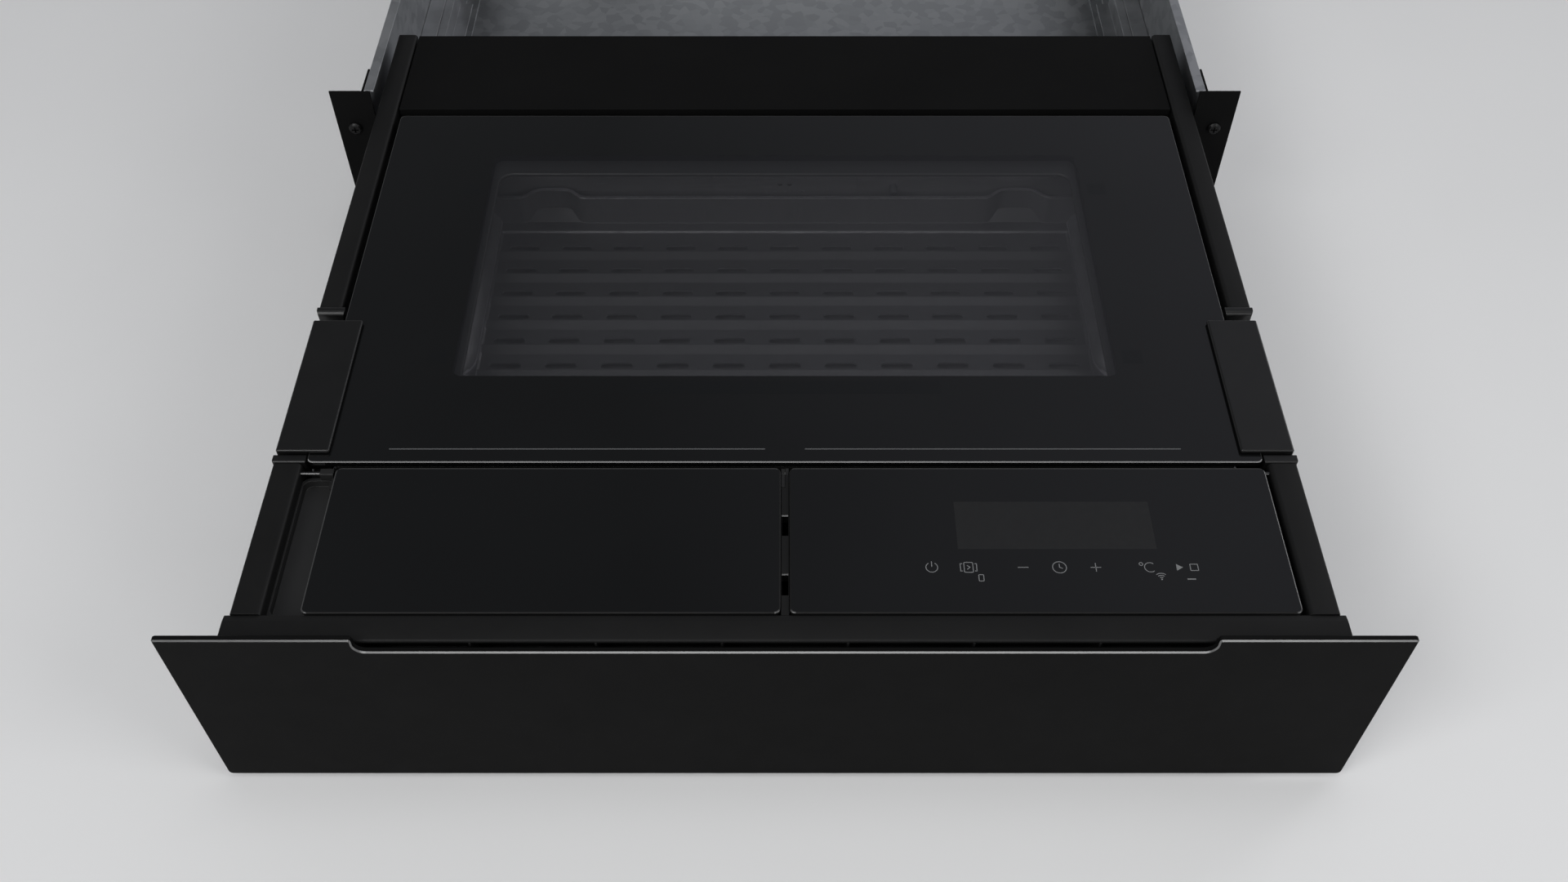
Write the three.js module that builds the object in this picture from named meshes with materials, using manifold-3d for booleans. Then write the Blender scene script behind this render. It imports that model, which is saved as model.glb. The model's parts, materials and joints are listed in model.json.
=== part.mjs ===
// Built-in heated drawer for a 14 cm niche, shown pulled out on full-extension runners.
//
// Frame: millimetres, +X to the right, +Y back into the niche, +Z up. The origin is the middle of
// the housing's underside. Pieces of the drawer are written in the drawer's own frame, whose Y
// starts at the face of the front panel; a nested group carries them to their place.
import * as THREE from "three";
import { mergeVertices } from "three/addons/utils/BufferGeometryUtils.js";
import Module from "manifold-3d";

const wasm = await Module();
wasm.setup();

// ---------------------------------------------------------------- driving dimensions

// Clearances
const seat = 0.2; // between pieces that are fastened to or rest on each other
const glide = 0.3; // between the members of a runner
const turn = 0.2; // radial, between a hinge pin and its eye
const faceGap = 0.4; // between the closed front and the housing's flanges
const overshoot = 1; // how far a cutter reaches past what it cuts

// Sheet metal and mouldings
const sheet = 1.2;
const mouldWall = 2;

// Front panel
const panelWidth = 595;
const panelHeight = 130;
const panelThickness = 3.6;
const panelLift = 4; // above the housing's underside
const panelCorner = 3;
const gripShoulder = 93.5; // from each end of the panel to its cut-out
const gripDepth = 10;
const gripCorner = 5.5;

// Housing
const panelOverlap = 22.5; // the front is this much wider than the housing, on each side
const housingDepth = 528;
const housingTopGap = 3; // above the panel's top edge
const housingTopLip = 6.5;
const housingFootLip = 13;
const flangeReveal = 4; // how far each flange reaches over the housing's mouth
const flangeLeg = 25;
const flangeLift = 3;

// Mounting screws through the flanges
const screwOffset = 11; // outwards from the housing's side
const screwLow = 32;
const screwSpacing = 76;
const screwHeadRadius = 4.5;
const screwHeadHeight = 2.2;
const screwRadius = 2;
const screwLength = 16;

// Mains inlet and terminal box on the rear wall
const inletInset = 105; // from the housing's left side
const inletZ = 52;
const inletWidth = 30;
const inletHeight = 22;
const inletProud = 6;
const inletRim = 3;
const terminalWidth = 80;
const terminalHeight = 76;
const terminalDepth = 38;

// Runners
const runnerRearGap = 68; // behind the outer member, to the back of the housing
const runnerOverlap = 60; // what the runner still holds when it is drawn out
const runnerHeight = 45;
const runnerDrop = 5.25; // below the skirts of the side rails
const runnerSheet = 1.5;
const runnerInnerFlange = 9.8;
const runnerMiddleFlange = 10;
const runnerOuterFlange = 10;
const runnerMiddleSpace = 2; // between the flanges of the outer member and the middle web
const innerRunnerStart = 8.2; // behind the front bar

// Front bar behind the panel
const barEndGap = 5.3; // inside the housing's side
const barDepth = 15.8;
const barWall = 2.2;
const barFootLift = 8; // above the panel's lower edge
const barLipSetback = 0.8;
const barPocketHeight = 17;
const barPocketDepth = 10;
const barBevel = 4;
const barRibs = 6;
const barRibPitch = 60;
const barRibWidth = 1.2;

// Deck: the plane of the glass plates and side rails
const deckDrop = 6.75; // below the panel's top edge
const glassThickness = 4;
const glassCorner = 3;
const plateGap = 4.4; // between neighbouring plates

// Side rails
const drawerSideGap = 8; // between the housing's side and the rails
const railWidth = 13.5;
const railSkirt = 47;
const railInset = 0.2; // the rear stretch is this much narrower on its outside
const railInsetInner = 0.4;
const railChamfer = 1.4;
const capProud = 0.8;
const frontCapGap = 3.4; // behind the front plates
const frontCapLength = 5;
const rearCapLength = 5;

// Drawer body
const rearSpace = 49.4; // behind the closed drawer, to the back of the housing
const panZ = 8;
const sideSetback = 1.5; // inside the rails
const ledgeDrop = 29.25; // below the deck
const ledgeReach = 12.5;
const sideFoot = 12;

// Control plate and what is under it
const plateFrontGap = 0.5; // behind the front bar
const plateDepth = 90.3;
const plateSideGap = 4; // beside the rail
const controlDepth = 26;
const controlRearInset = 7.4; // in front of the plate's rear edge
const displayInset = 114; // from the plate's outer end to the middle of the display
const displayRearInset = 37.35;
const displayWidth = 99;
const displayLength = 29.9;
const boardThickness = 1.6;
const boardShift = 2; // from the middle of the display, outwards
const boardWidth = 155;
const boardDepth = 66;
const boardDrop = 9.5;

// Flap, the storage tub under it, and the divider
const flapEndGap = 20; // beside the rail, where a fingertip goes in
const flapFrameInset = 2.5;
const flapFrameHeight = 4.5;
const flapFrameBorder = 12;
const flapAxisInset = 1.4; // in front of the plate's rear edge
const flapAxisDrop = 3.1; // below the deck
const flapPinRadius = 1.2;
const flapLugReach = 8.5; // past the end of the flap's glass
const flapLugWidth = 7;
const flapLugDepth = 4.4; // along Y
const flapLugRise = 1.9; // above the axis
const flapLugFoot = 3.3; // below the axis
const flapCentreLug = 1.8; // width of each of the two lugs between the plates
const flapArmReach = 9;
const tubDepth = 78;
const tubRecessWidth = 20;
const tubRecessDepth = 4.6;
const tubRecessDrop = 7.65; // rim of the recess below the deck
const tubRecessRearGap = 0.6; // in front of the plates' rear edge
const tubCorner = 6;
const dividerHalf = 2;
const dividerDrop = 7.5;
const dividerHeight = 24;
const dividerSlotStart = 22.4; // behind the front bar
const dividerSlotPitch = 36.4;
const dividerSlotLength = 12.9;
const dividerSlotWidth = 3.2;
const dividerSlotDepth = 12;
const crossbarThickness = 6.5;

// Lid
const lidSideGap = 3.5; // beside the rail
const lidFrontGap = 3.9; // behind the front plates
const rearBay = 90.8; // from the lid's rear edge to the drawer's rear wall
const lidFrameInset = 14;
const lidFrameFrontInset = 7.5;
const lidFrameRearInset = 5.8;
const lidFrameHeight = 5.75;
const windowSideBorder = 69;
const windowFrontBorder = 61.5;
const windowRearBorder = 45.8;
const windowMargin = 5;
const windowCorner = 10;
const paneInset = 0.2; // the inner pane ends this much inside the outline of the cavity
const sealWidth = 8;
const sealMargin = 1.5;
const gripEndGap = 1; // behind the front cap
const gripLength = 97;
const gripRearGap = 7.2; // in front of the rear cap
const gripReach = 11.2; // over the glass
const gripSetback = 0.1; // inside the rail's outer side
const gripProud = 2.75;
const gripBelow = 13.25; // underside below the deck
const gripChamfer = 1;
const lidAxisInset = 1.8; // in front of the lid's rear edge
const lidAxisDrop = 9.75;
const lidPinRadius = 2.5;
const lidEyeRadius = 5.2;
const lidEyeInset = 10; // inside the frame's side
const lidEyeWidth = 13.5;
const bracketGap = 1;
const bracketThickness = 3;
const bracketLength = 19;

// Heated cavity
const cavitySideSpace = 40; // between the drawer's side and the cavity
const cavityFrontBorder = 25.5; // behind the lid's front edge
const cavityRearBorder = 19.8;
const cavityDrop = 70.45; // underside of the cavity below the deck
const cavityCorner = 14;
const rimFrontBorder = 8.5;
const rimRearReach = 7.2; // behind the lid's rear edge
const rimSideGap = 0.9; // beside the rail
const grilleSlots = 4;
const grillePitch = 9;
const grilleSlotHeight = 4;
const grilleSlotWidth = 50;
const probeX = 72;
const probeRise = 27.2; // above the cavity's underside
const probeRadius = 2.5;
const probeInside = 8;
const probeOutside = 9;
const heaterMargin = 20;
const heaterThickness = 3;

// Perforated tray
const traySideGap = 12;
const trayFrontGap = 8;
const trayRearGap = 16;
const trayLift = 7.2; // above the cavity's underside
const trayHeight = 23;
const trayCorner = 10;
const trayRimWidth = 4;
const trayFootRadius = 5;
const trayFootSides = 12;
const trayFootInset = 22;
const trayFootFront = 11;
const trayFootRear = 5.5;
const slotRows = 10;
const slotColumns = 11;
const slotFrontMargin = 10.4; // from the tray's wall to the middle of the first row
const slotRearMargin = 25.1;
const slotSideMargin = 29;
const slotLength = 19.6;
const slotWidth = 4.4;
const ribRise = 1.4;
const ribTop = 6.5;
const ribFoot = 9.5;
const ribOffset = -7.4;
const notchInset = 46.7; // from the tray's side to the middle of each notch
const notchWide = 39;
const notchNarrow = 18;
const notchDepth = 8.3;
const ridgeWidth = 12;
const ridgeLength = 133;
const ridgeRearGap = 1;
const ridgeHeight = 12;
const ridgeEnd = 5.9;

// Fan behind the cavity
const fanRise = 14.2; // axis above the cavity's underside
const fanRadius = 18;
const fanDepth = 10;
const fanBlades = 8;
const fanBladeTip = 0.5; // the blades end this much inside the wheel's edge
const fanHubRadius = 5;
const fanShaftRadius = 2.5;
const fanBoxHalf = 40;
const fanBoxHeight = 53;
const fanBoxDepth = 23.6;
const fanFrontGap = 6;
const heaterRingRadius = 22.3;
const heaterRodRadius = 1.5;
const heaterRingSteps = 40;
const motorRadius = 20;
const motorLength = 35;
const motorBoreDepth = 8;

// Rear cover
const coverFrontGap = 1; // behind the cavity's rim
const coverSideGap = 1; // beside the rail
const coverDrop = 1;
const coverLip = 17;

// ---------------------------------------------------------------- derived places

// Heights
const panelTop = panelLift + panelHeight;
const housingHeight = panelTop + housingTopGap;
const screwHigh = screwLow + screwSpacing;
const deck = panelTop - deckDrop;
const glassUnder = deck - glassThickness;
const underGlass = glassUnder - seat; // highest place for what carries the glass
const lidFrameUnder = underGlass - lidFrameHeight;
const ledgeZ = deck - ledgeDrop;
const rimTop = ledgeZ + seat + sheet;
const panTop = panZ + sheet;
const bodyFloor = panTop + seat;
const runnerZ = deck - railSkirt - runnerDrop - runnerHeight / 2;
const cavityUnder = deck - cavityDrop;
const trayFloor = cavityUnder + trayLift;
const fanZ = cavityUnder + fanRise;
const probeZ = cavityUnder + probeRise;
const flapAxisZ = deck - flapAxisDrop;

// Half widths, from the front panel inwards
const panelHalf = panelWidth / 2;
const gripHalfWidth = panelHalf - gripShoulder;
const housingHalf = panelHalf - panelOverlap;
const housingInner = housingHalf - sheet;
const flangeInner = housingHalf - flangeReveal;
const screwX = housingHalf + screwOffset;
const inletX = inletInset - housingHalf;
const barHalfWidth = housingHalf - barEndGap;
const railOuter = housingHalf - drawerSideGap;
const railInner = railOuter - railWidth;
const sideOuter = railInner - sideSetback;
const controlRight = railInner - plateSideGap;
const displayX = controlRight - displayInset;
const boardX = displayX + boardShift;
const flapLeft = flapEndGap - railInner;
const flapLugLeft = flapLeft - flapLugReach;
const centreLugHalf = plateGap / 2 - glide; // half the width of both lugs between the plates
const lidHalfWidth = railInner - lidSideGap;
const lidFrameHalf = lidHalfWidth - lidFrameInset;
const windowHalf = lidHalfWidth - windowSideBorder;
const gripInner = lidHalfWidth - gripReach;
const gripOuter = railOuter - gripSetback;
const lidEyeInner = lidFrameHalf - lidEyeInset;
const rimHalf = railInner - rimSideGap;
const cavityHalf = sideOuter - cavitySideSpace;
const trayHalf = cavityHalf - traySideGap;
const ridgeInner = trayHalf - ridgeWidth;
const notchX = trayHalf - notchInset;
const slotColumnPitch = (2 * (trayHalf - slotSideMargin)) / (slotColumns - 1);

// Depths of the housing
const flangeFace = -housingDepth / 2;
const runnerLength = housingDepth - runnerRearGap;
const travel = runnerLength - runnerOverlap;

// Depths of the drawer, from the face of its front panel backwards
const barFront = panelThickness + seat;
const barBack = barFront + barDepth;
const bodyFront = barBack + seat;
const drawerRear = barBack + faceGap + housingDepth - rearSpace;
const drawerOrigin = flangeFace - faceGap - barBack - travel;
const plateFront = bodyFront + plateFrontGap;
const plateRear = plateFront + plateDepth;
const displayY = plateRear - displayRearInset;
const flapAxisY = plateRear - flapAxisInset;
const railEnd = plateRear + frontCapGap;
const crossbarFront = plateRear + plateGap;
const crossbarRear = crossbarFront + crossbarThickness;
const lidFront = plateRear + lidFrontGap;
const lidRear = drawerRear - rearBay;
const lidFrameFront = lidFront + lidFrameFrontInset;
const lidFrameRear = lidRear - lidFrameRearInset;
const lidAxisY = lidRear - lidAxisInset;
const windowFront = lidFront + windowFrontBorder;
const windowRear = lidRear - windowRearBorder;
const gripFront = railEnd + frontCapLength + gripEndGap;
const rearCapStart = gripFront + gripLength + gripRearGap;
const cavityFront = lidFront + cavityFrontBorder;
const cavityRear = lidRear - cavityRearBorder;
const rimFront = lidFront + rimFrontBorder;
const rimRear = lidRear + rimRearReach;
const trayFront = cavityFront + trayFrontGap;
const trayRear = cavityRear - trayRearGap;
const slotRowPitch = (trayRear - trayFront - slotFrontMargin - slotRearMargin) / (slotRows - 1);
const ridgeRear = trayRear - ridgeRearGap;
const coverFront = rimRear + coverFrontGap;

// ---------------------------------------------------------------- materials

function metal(color, roughness = 0.45) {
  return new THREE.MeshStandardMaterial({ color, roughness, metalness: 0.6 });
}

function plastic(color, roughness = 0.6) {
  return new THREE.MeshStandardMaterial({ color, roughness, metalness: 0 });
}

const blackPaint = metal(0x181818, 0.5);
const galvanised = metal(0x8d9196, 0.4);
const stainless = metal(0x9a9ca0, 0.35);
const steel = metal(0x6f7276, 0.4);
const darkPlastic = plastic(0x1c1c1d, 0.6);
const greyPlastic = plastic(0x3a3b3d, 0.7);
const blackGlass = new THREE.MeshStandardMaterial({ color: 0x0c0d10, roughness: 0.08 });
const clearGlass = new THREE.MeshStandardMaterial({
  color: 0x30343a,
  roughness: 0.06,
  transparent: true,
  opacity: 0.5,
});
const silicone = plastic(0x2a2a2c, 0.85);
const wool = plastic(0xb9b2a0, 0.95);
const circuitGreen = plastic(0x1f4d33, 0.6);

// ---------------------------------------------------------------- geometry helpers

const ARC_STEPS = 4;
const ROUND_SIDES = 16;

function box(x0, x1, y0, y1, z0, z1) {
  return new THREE.BoxGeometry(x1 - x0, y1 - y0, z1 - z0).translate(
    (x0 + x1) / 2,
    (y0 + y1) / 2,
    (z0 + z1) / 2,
  );
}

function outline(points) {
  return new THREE.Shape(points.map(([a, b]) => new THREE.Vector2(a, b)));
}

function roundedRect(x0, x1, y0, y1, r, ShapeType = THREE.Shape) {
  const shape = new ShapeType();
  shape.moveTo(x0 + r, y0);
  shape.lineTo(x1 - r, y0);
  shape.absarc(x1 - r, y0 + r, r, -Math.PI / 2, 0);
  shape.absarc(x1 - r, y1 - r, r, 0, Math.PI / 2);
  shape.absarc(x0 + r, y1 - r, r, Math.PI / 2, Math.PI);
  shape.absarc(x0 + r, y0 + r, r, Math.PI, 1.5 * Math.PI);
  return shape;
}

function extrude(shape, depth) {
  return new THREE.ExtrudeGeometry(shape, {
    depth,
    bevelEnabled: false,
    curveSegments: ARC_STEPS,
  });
}

// An outline in X-Y, raised from z0 to z1.
function slab(shape, z0, z1) {
  return extrude(shape, z1 - z0).translate(0, 0, z0);
}

// An outline in Y-Z, drawn out along X from x0 to x1.
function alongX(shape, x0, x1) {
  const turned = new THREE.Matrix4().makeBasis(
    new THREE.Vector3(0, 1, 0),
    new THREE.Vector3(0, 0, 1),
    new THREE.Vector3(1, 0, 0),
  );
  return extrude(shape, x1 - x0).applyMatrix4(turned).translate(x0, 0, 0);
}

// An outline in X-Z, drawn out along Y from y0 to y1.
function alongY(shape, y0, y1) {
  const turned = new THREE.Matrix4().makeBasis(
    new THREE.Vector3(1, 0, 0),
    new THREE.Vector3(0, 0, 1),
    new THREE.Vector3(0, -1, 0),
  );
  return extrude(shape, y1 - y0).applyMatrix4(turned).translate(0, y1, 0);
}

// Round bars along X and along Y.
function rodX(x0, x1, y, z, radius) {
  return new THREE.CylinderGeometry(radius, radius, x1 - x0, ROUND_SIDES)
    .rotateZ(Math.PI / 2)
    .translate((x0 + x1) / 2, y, z);
}

function rodY(x, y0, y1, z, radius) {
  return new THREE.CylinderGeometry(radius, radius, y1 - y0, ROUND_SIDES).translate(
    x,
    (y0 + y1) / 2,
    z,
  );
}

function solid(geometry) {
  const bare = geometry.index ? geometry.toNonIndexed() : geometry.clone();
  bare.deleteAttribute("normal");
  bare.deleteAttribute("uv");
  const merged = mergeVertices(bare, 1e-4);
  return new wasm.Manifold(
    new wasm.Mesh({
      numProp: 3,
      vertProperties: merged.attributes.position.array,
      triVerts: new Uint32Array(merged.index.array),
    }),
  );
}

function geometryOf(manifold) {
  const mesh = manifold.getMesh();
  return new THREE.BufferGeometry()
    .setAttribute("position", new THREE.BufferAttribute(mesh.vertProperties, 3))
    .setIndex(new THREE.BufferAttribute(mesh.triVerts, 1))
    .toNonIndexed();
}

function join(...geometries) {
  return geometryOf(geometries.map(solid).reduce((a, b) => a.add(b)));
}

function cut(geometry, ...tools) {
  return geometryOf(tools.map(solid).reduce((a, b) => a.subtract(b), solid(geometry)));
}

const SIDES = { left: -1, right: 1 };

function add(group, name, geometry, material) {
  geometry.computeVertexNormals();
  const mesh = new THREE.Mesh(geometry, material);
  mesh.name = name;
  group.add(mesh);
  return mesh;
}

// The same piece on both sides; the geometry is written for the right-hand side.
function addPair(group, name, geometry, material) {
  for (const [side, sign] of Object.entries(SIDES)) {
    add(group, `${name}_${side}`, geometry, material).scale.x = sign;
  }
}

// ---------------------------------------------------------------- groups

const heatedDrawer = new THREE.Group();
const housing = new THREE.Group();
const drawer = new THREE.Group();
heatedDrawer.add(housing, drawer);
drawer.position.y = drawerOrigin;

// ---------------------------------------------------------------- housing

function buildHousing() {
  const front = flangeFace + sheet + seat;
  const rear = housingDepth / 2;
  add(housing, "housing_base", box(-housingHalf, housingHalf, front, rear, 0, sheet), galvanised);

  const foot = sheet + seat;
  const side = outline([
    [housingHalf, foot],
    [housingHalf, housingHeight],
    [housingInner - housingTopLip + sheet, housingHeight],
    [housingInner - housingTopLip + sheet, housingHeight - sheet],
    [housingInner, housingHeight - sheet],
    [housingInner, foot + sheet],
    [housingHalf - housingFootLip, foot + sheet],
    [housingHalf - housingFootLip, foot],
  ]);
  const sideRear = rear - sheet - seat;
  addPair(housing, "housing_side", alongY(side, front, sideRear), galvanised);

  const inletHole = box(
    inletX - inletWidth / 2 - seat,
    inletX + inletWidth / 2 + seat,
    rear - 2 * sheet,
    rear + sheet,
    inletZ - inletHeight / 2 - seat,
    inletZ + inletHeight / 2 + seat,
  );
  const rearWall = box(-housingHalf, housingHalf, rear - sheet, rear, foot, housingHeight);
  add(housing, "housing_rear", cut(rearWall, inletHole), galvanised);
}

function buildFlanges() {
  const leg = housingHalf + seat;
  const section = outline([
    [flangeInner, flangeFace],
    [panelHalf, flangeFace],
    [panelHalf, flangeFace + sheet],
    [leg + sheet, flangeFace + sheet],
    [leg + sheet, flangeFace + flangeLeg],
    [leg, flangeFace + flangeLeg],
    [leg, flangeFace + sheet],
    [flangeInner, flangeFace + sheet],
  ]);
  const holes = [screwLow, screwHigh].map((z) =>
    rodY(screwX, flangeFace - sheet, flangeFace + 2 * sheet, z, screwRadius + turn),
  );
  const flange = cut(slab(section, flangeLift, housingHeight), ...holes);
  addPair(housing, "front_flange", flange, blackPaint);
}

function buildMountingScrews() {
  const places = [
    ["mounting_screw_low_left", -screwX, screwLow],
    ["mounting_screw_low_right", screwX, screwLow],
    ["mounting_screw_high_left", -screwX, screwHigh],
    ["mounting_screw_high_right", screwX, screwHigh],
  ];
  const headBack = flangeFace - seat;
  for (const [name, x, z] of places) {
    const head = rodY(x, headBack - screwHeadHeight, headBack, z, screwHeadRadius);
    const shank = rodY(x, headBack - screwHeadHeight / 2, flangeFace + screwLength, z, screwRadius);
    const drive = box(
      x - screwHeadRadius / 2,
      x + screwHeadRadius / 2,
      headBack - 2 * screwHeadHeight,
      headBack - screwHeadHeight / 2,
      z - screwRadius / 4,
      z + screwRadius / 4,
    );
    add(housing, name, cut(join(head, shank), drive), steel);
  }
}

function buildMains() {
  const wall = housingDepth / 2 - sheet - seat;
  const z0 = inletZ - terminalHeight / 2;
  const shell = box(
    inletX - terminalWidth / 2,
    inletX + terminalWidth / 2,
    wall - terminalDepth,
    wall,
    z0,
    z0 + terminalHeight,
  );
  const hollow = box(
    inletX - terminalWidth / 2 + mouldWall,
    inletX + terminalWidth / 2 - mouldWall,
    wall - terminalDepth + mouldWall,
    wall + mouldWall,
    z0 + mouldWall,
    z0 + terminalHeight - mouldWall,
  );
  add(housing, "terminal_box", cut(shell, hollow), greyPlastic);

  const outside = housingDepth / 2 + seat;
  const body = box(
    inletX - inletWidth / 2,
    inletX + inletWidth / 2,
    wall - terminalDepth / 2,
    outside + inletProud,
    inletZ - inletHeight / 2,
    inletZ + inletHeight / 2,
  );
  const rim = box(
    inletX - inletWidth / 2 - inletRim,
    inletX + inletWidth / 2 + inletRim,
    outside,
    outside + mouldWall,
    inletZ - inletHeight / 2 - inletRim,
    inletZ + inletHeight / 2 + inletRim,
  );
  const socket = box(
    inletX - inletWidth / 2 + mouldWall,
    inletX + inletWidth / 2 - mouldWall,
    wall - terminalDepth / 4,
    outside + 2 * inletProud,
    inletZ - inletHeight / 2 + mouldWall,
    inletZ + inletHeight / 2 - mouldWall,
  );
  add(housing, "mains_inlet", cut(join(body, rim), socket), darkPlastic);
}

// ---------------------------------------------------------------- runners

// A channel whose web stands at webX and whose flanges reach towards openTo.
function channel(webX, openTo, height) {
  const inside = webX + Math.sign(openTo - webX) * runnerSheet;
  const low = runnerZ - height / 2;
  const high = runnerZ + height / 2;
  return outline([
    [webX, low],
    [openTo, low],
    [openTo, low + runnerSheet],
    [inside, low + runnerSheet],
    [inside, high - runnerSheet],
    [openTo, high - runnerSheet],
    [openTo, high],
    [webX, high],
  ]);
}

function buildRunners() {
  const step = 2 * (runnerSheet + glide);
  const start = flangeFace + sheet + seat;
  const outerWeb = housingInner - seat;
  const innerWeb = sideOuter + seat;
  const middleWeb = outerWeb - runnerOuterFlange + runnerSheet + glide + runnerMiddleSpace;

  const outer = channel(outerWeb, outerWeb - runnerOuterFlange - runnerSheet, runnerHeight);
  addPair(housing, "runner_outer", alongY(outer, start, start + runnerLength), steel);

  const middle = channel(middleWeb, middleWeb - runnerMiddleFlange - runnerSheet, runnerHeight - step);
  const middleStart = start - travel / 2;
  const middleBar = alongY(middle, middleStart, middleStart + runnerLength);
  addPair(housing, "runner_middle", middleBar, steel);

  const inner = channel(innerWeb, innerWeb + runnerInnerFlange, runnerHeight - 2 * step);
  const innerStart = bodyFront + innerRunnerStart;
  const innerBar = alongY(inner, innerStart, innerStart + runnerLength);
  addPair(drawer, "runner_inner", innerBar, steel);
}

// ---------------------------------------------------------------- front

function buildFrontPanel() {
  const half = panelHalf;
  const low = panelLift;
  const gripFloor = panelTop - gripDepth;
  const shape = new THREE.Shape();
  shape.moveTo(-half + panelCorner, low);
  shape.lineTo(half - panelCorner, low);
  shape.absarc(half - panelCorner, low + panelCorner, panelCorner, -Math.PI / 2, 0);
  shape.lineTo(half, panelTop);
  shape.lineTo(gripHalfWidth, panelTop);
  shape.lineTo(gripHalfWidth, gripFloor + gripCorner);
  shape.absarc(gripHalfWidth - gripCorner, gripFloor + gripCorner, gripCorner, 0, -Math.PI / 2, true);
  shape.lineTo(-gripHalfWidth + gripCorner, gripFloor);
  shape.absarc(
    -gripHalfWidth + gripCorner,
    gripFloor + gripCorner,
    gripCorner,
    -Math.PI / 2,
    -Math.PI,
    true,
  );
  shape.lineTo(-gripHalfWidth, panelTop);
  shape.lineTo(-half, panelTop);
  shape.absarc(-half + panelCorner, low + panelCorner, panelCorner, Math.PI, 1.5 * Math.PI);
  add(drawer, "front_panel", alongY(shape, 0, panelThickness), blackPaint);
}

function buildFrontBar() {
  const lipFront = barFront + barLipSetback;
  const lipUnder = deck - barWall;
  const pocketFloor = lipUnder - barPocketHeight;
  const pocketBack = barFront + barPocketDepth;
  const foot = panelLift + barFootLift;
  const section = outline([
    [barFront, foot],
    [barBack, foot],
    [barBack, foot + barWall],
    [barFront + barWall, foot + barWall],
    [barFront + barWall, pocketFloor - barWall],
    [pocketBack + barWall, pocketFloor - barWall],
    [pocketBack + barWall, lipUnder - barWall],
    [barBack, lipUnder - barWall],
    [barBack, deck - barBevel / 2],
    [barBack - barBevel, deck],
    [lipFront, deck],
    [lipFront, lipUnder],
    [pocketBack, lipUnder],
    [pocketBack, pocketFloor],
    [barFront, pocketFloor],
  ]);
  const bar = alongX(section, -barHalfWidth, barHalfWidth);
  const ribs = [];
  for (let i = 0; i < barRibs; i++) {
    const x = (i - (barRibs - 1) / 2) * barRibPitch;
    ribs.push(
      box(
        x - barRibWidth / 2,
        x + barRibWidth / 2,
        lipFront,
        pocketBack + barWall / 2,
        pocketFloor - barWall / 2,
        lipUnder + barWall / 2,
      ),
    );
  }
  const ends = Object.values(SIDES).map((sign) => {
    const [x0, x1] = [sign * gripHalfWidth, sign * barHalfWidth].sort((a, b) => a - b);
    return box(
      x0,
      x1,
      lipFront,
      pocketBack + barWall / 2,
      pocketFloor - barWall / 2,
      lipUnder + barWall / 2,
    );
  });
  add(drawer, "front_bar", join(bar, ...ribs, ...ends), darkPlastic);
}

// ---------------------------------------------------------------- side rails

// Section of a side rail: a hollow channel, open below, whose outer leg is a skirt.
function railSection(inner, outer, top) {
  const foot = ledgeZ + seat;
  const skirt = top - railSkirt;
  return outline([
    [outer, skirt],
    [outer, top - railChamfer],
    [outer - railChamfer, top],
    [inner + railChamfer, top],
    [inner, top - railChamfer],
    [inner, foot],
    [inner + sheet, foot],
    [inner + sheet, top - sheet - railChamfer],
    [inner + sheet + railChamfer, top - sheet],
    [outer - sheet - railChamfer, top - sheet],
    [outer - sheet, top - sheet - railChamfer],
    [outer - sheet, skirt],
  ]);
}

// A moulded cap that closes the end of a rail, a little proud of it on every side.
function railCap(inner, outer, y0, y1) {
  const top = deck + capProud;
  const [x0, x1] = [inner - capProud, outer + capProud];
  return alongY(
    outline([
      [x0, ledgeZ + sheet + 2 * seat],
      [sideOuter + ledgeReach, ledgeZ + sheet + 2 * seat],
      [x1, ledgeZ + sheet + 2 * seat + (x1 - sideOuter - ledgeReach)],
      [x1, top - railChamfer],
      [x1 - railChamfer, top],
      [x0 + railChamfer, top],
      [x0, top - railChamfer],
    ]),
    y0,
    y1,
  );
}

function buildSideRails() {
  const pinHole = rodX(
    railInner - sheet,
    railInner + 2 * sheet,
    flapAxisY,
    flapAxisZ,
    flapPinRadius + turn,
  );
  const front = alongY(railSection(railInner, railOuter, deck), bodyFront, railEnd - seat);
  addPair(drawer, "front_rail", cut(front, pinHole), darkPlastic);
  addPair(
    drawer,
    "front_rail_cap",
    railCap(railInner, railOuter, railEnd, railEnd + frontCapLength),
    darkPlastic,
  );
  const rearInner = railInner + railInsetInner;
  const rearOuter = railOuter - railInset;
  const rearStart = rearCapStart + rearCapLength;
  addPair(
    drawer,
    "rear_rail",
    alongY(railSection(rearInner, rearOuter, deck), rearStart + seat, drawerRear),
    darkPlastic,
  );
  addPair(
    drawer,
    "rear_rail_cap",
    railCap(rearInner, rearOuter, rearCapStart, rearStart),
    darkPlastic,
  );
}

// ---------------------------------------------------------------- drawer body

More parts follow.
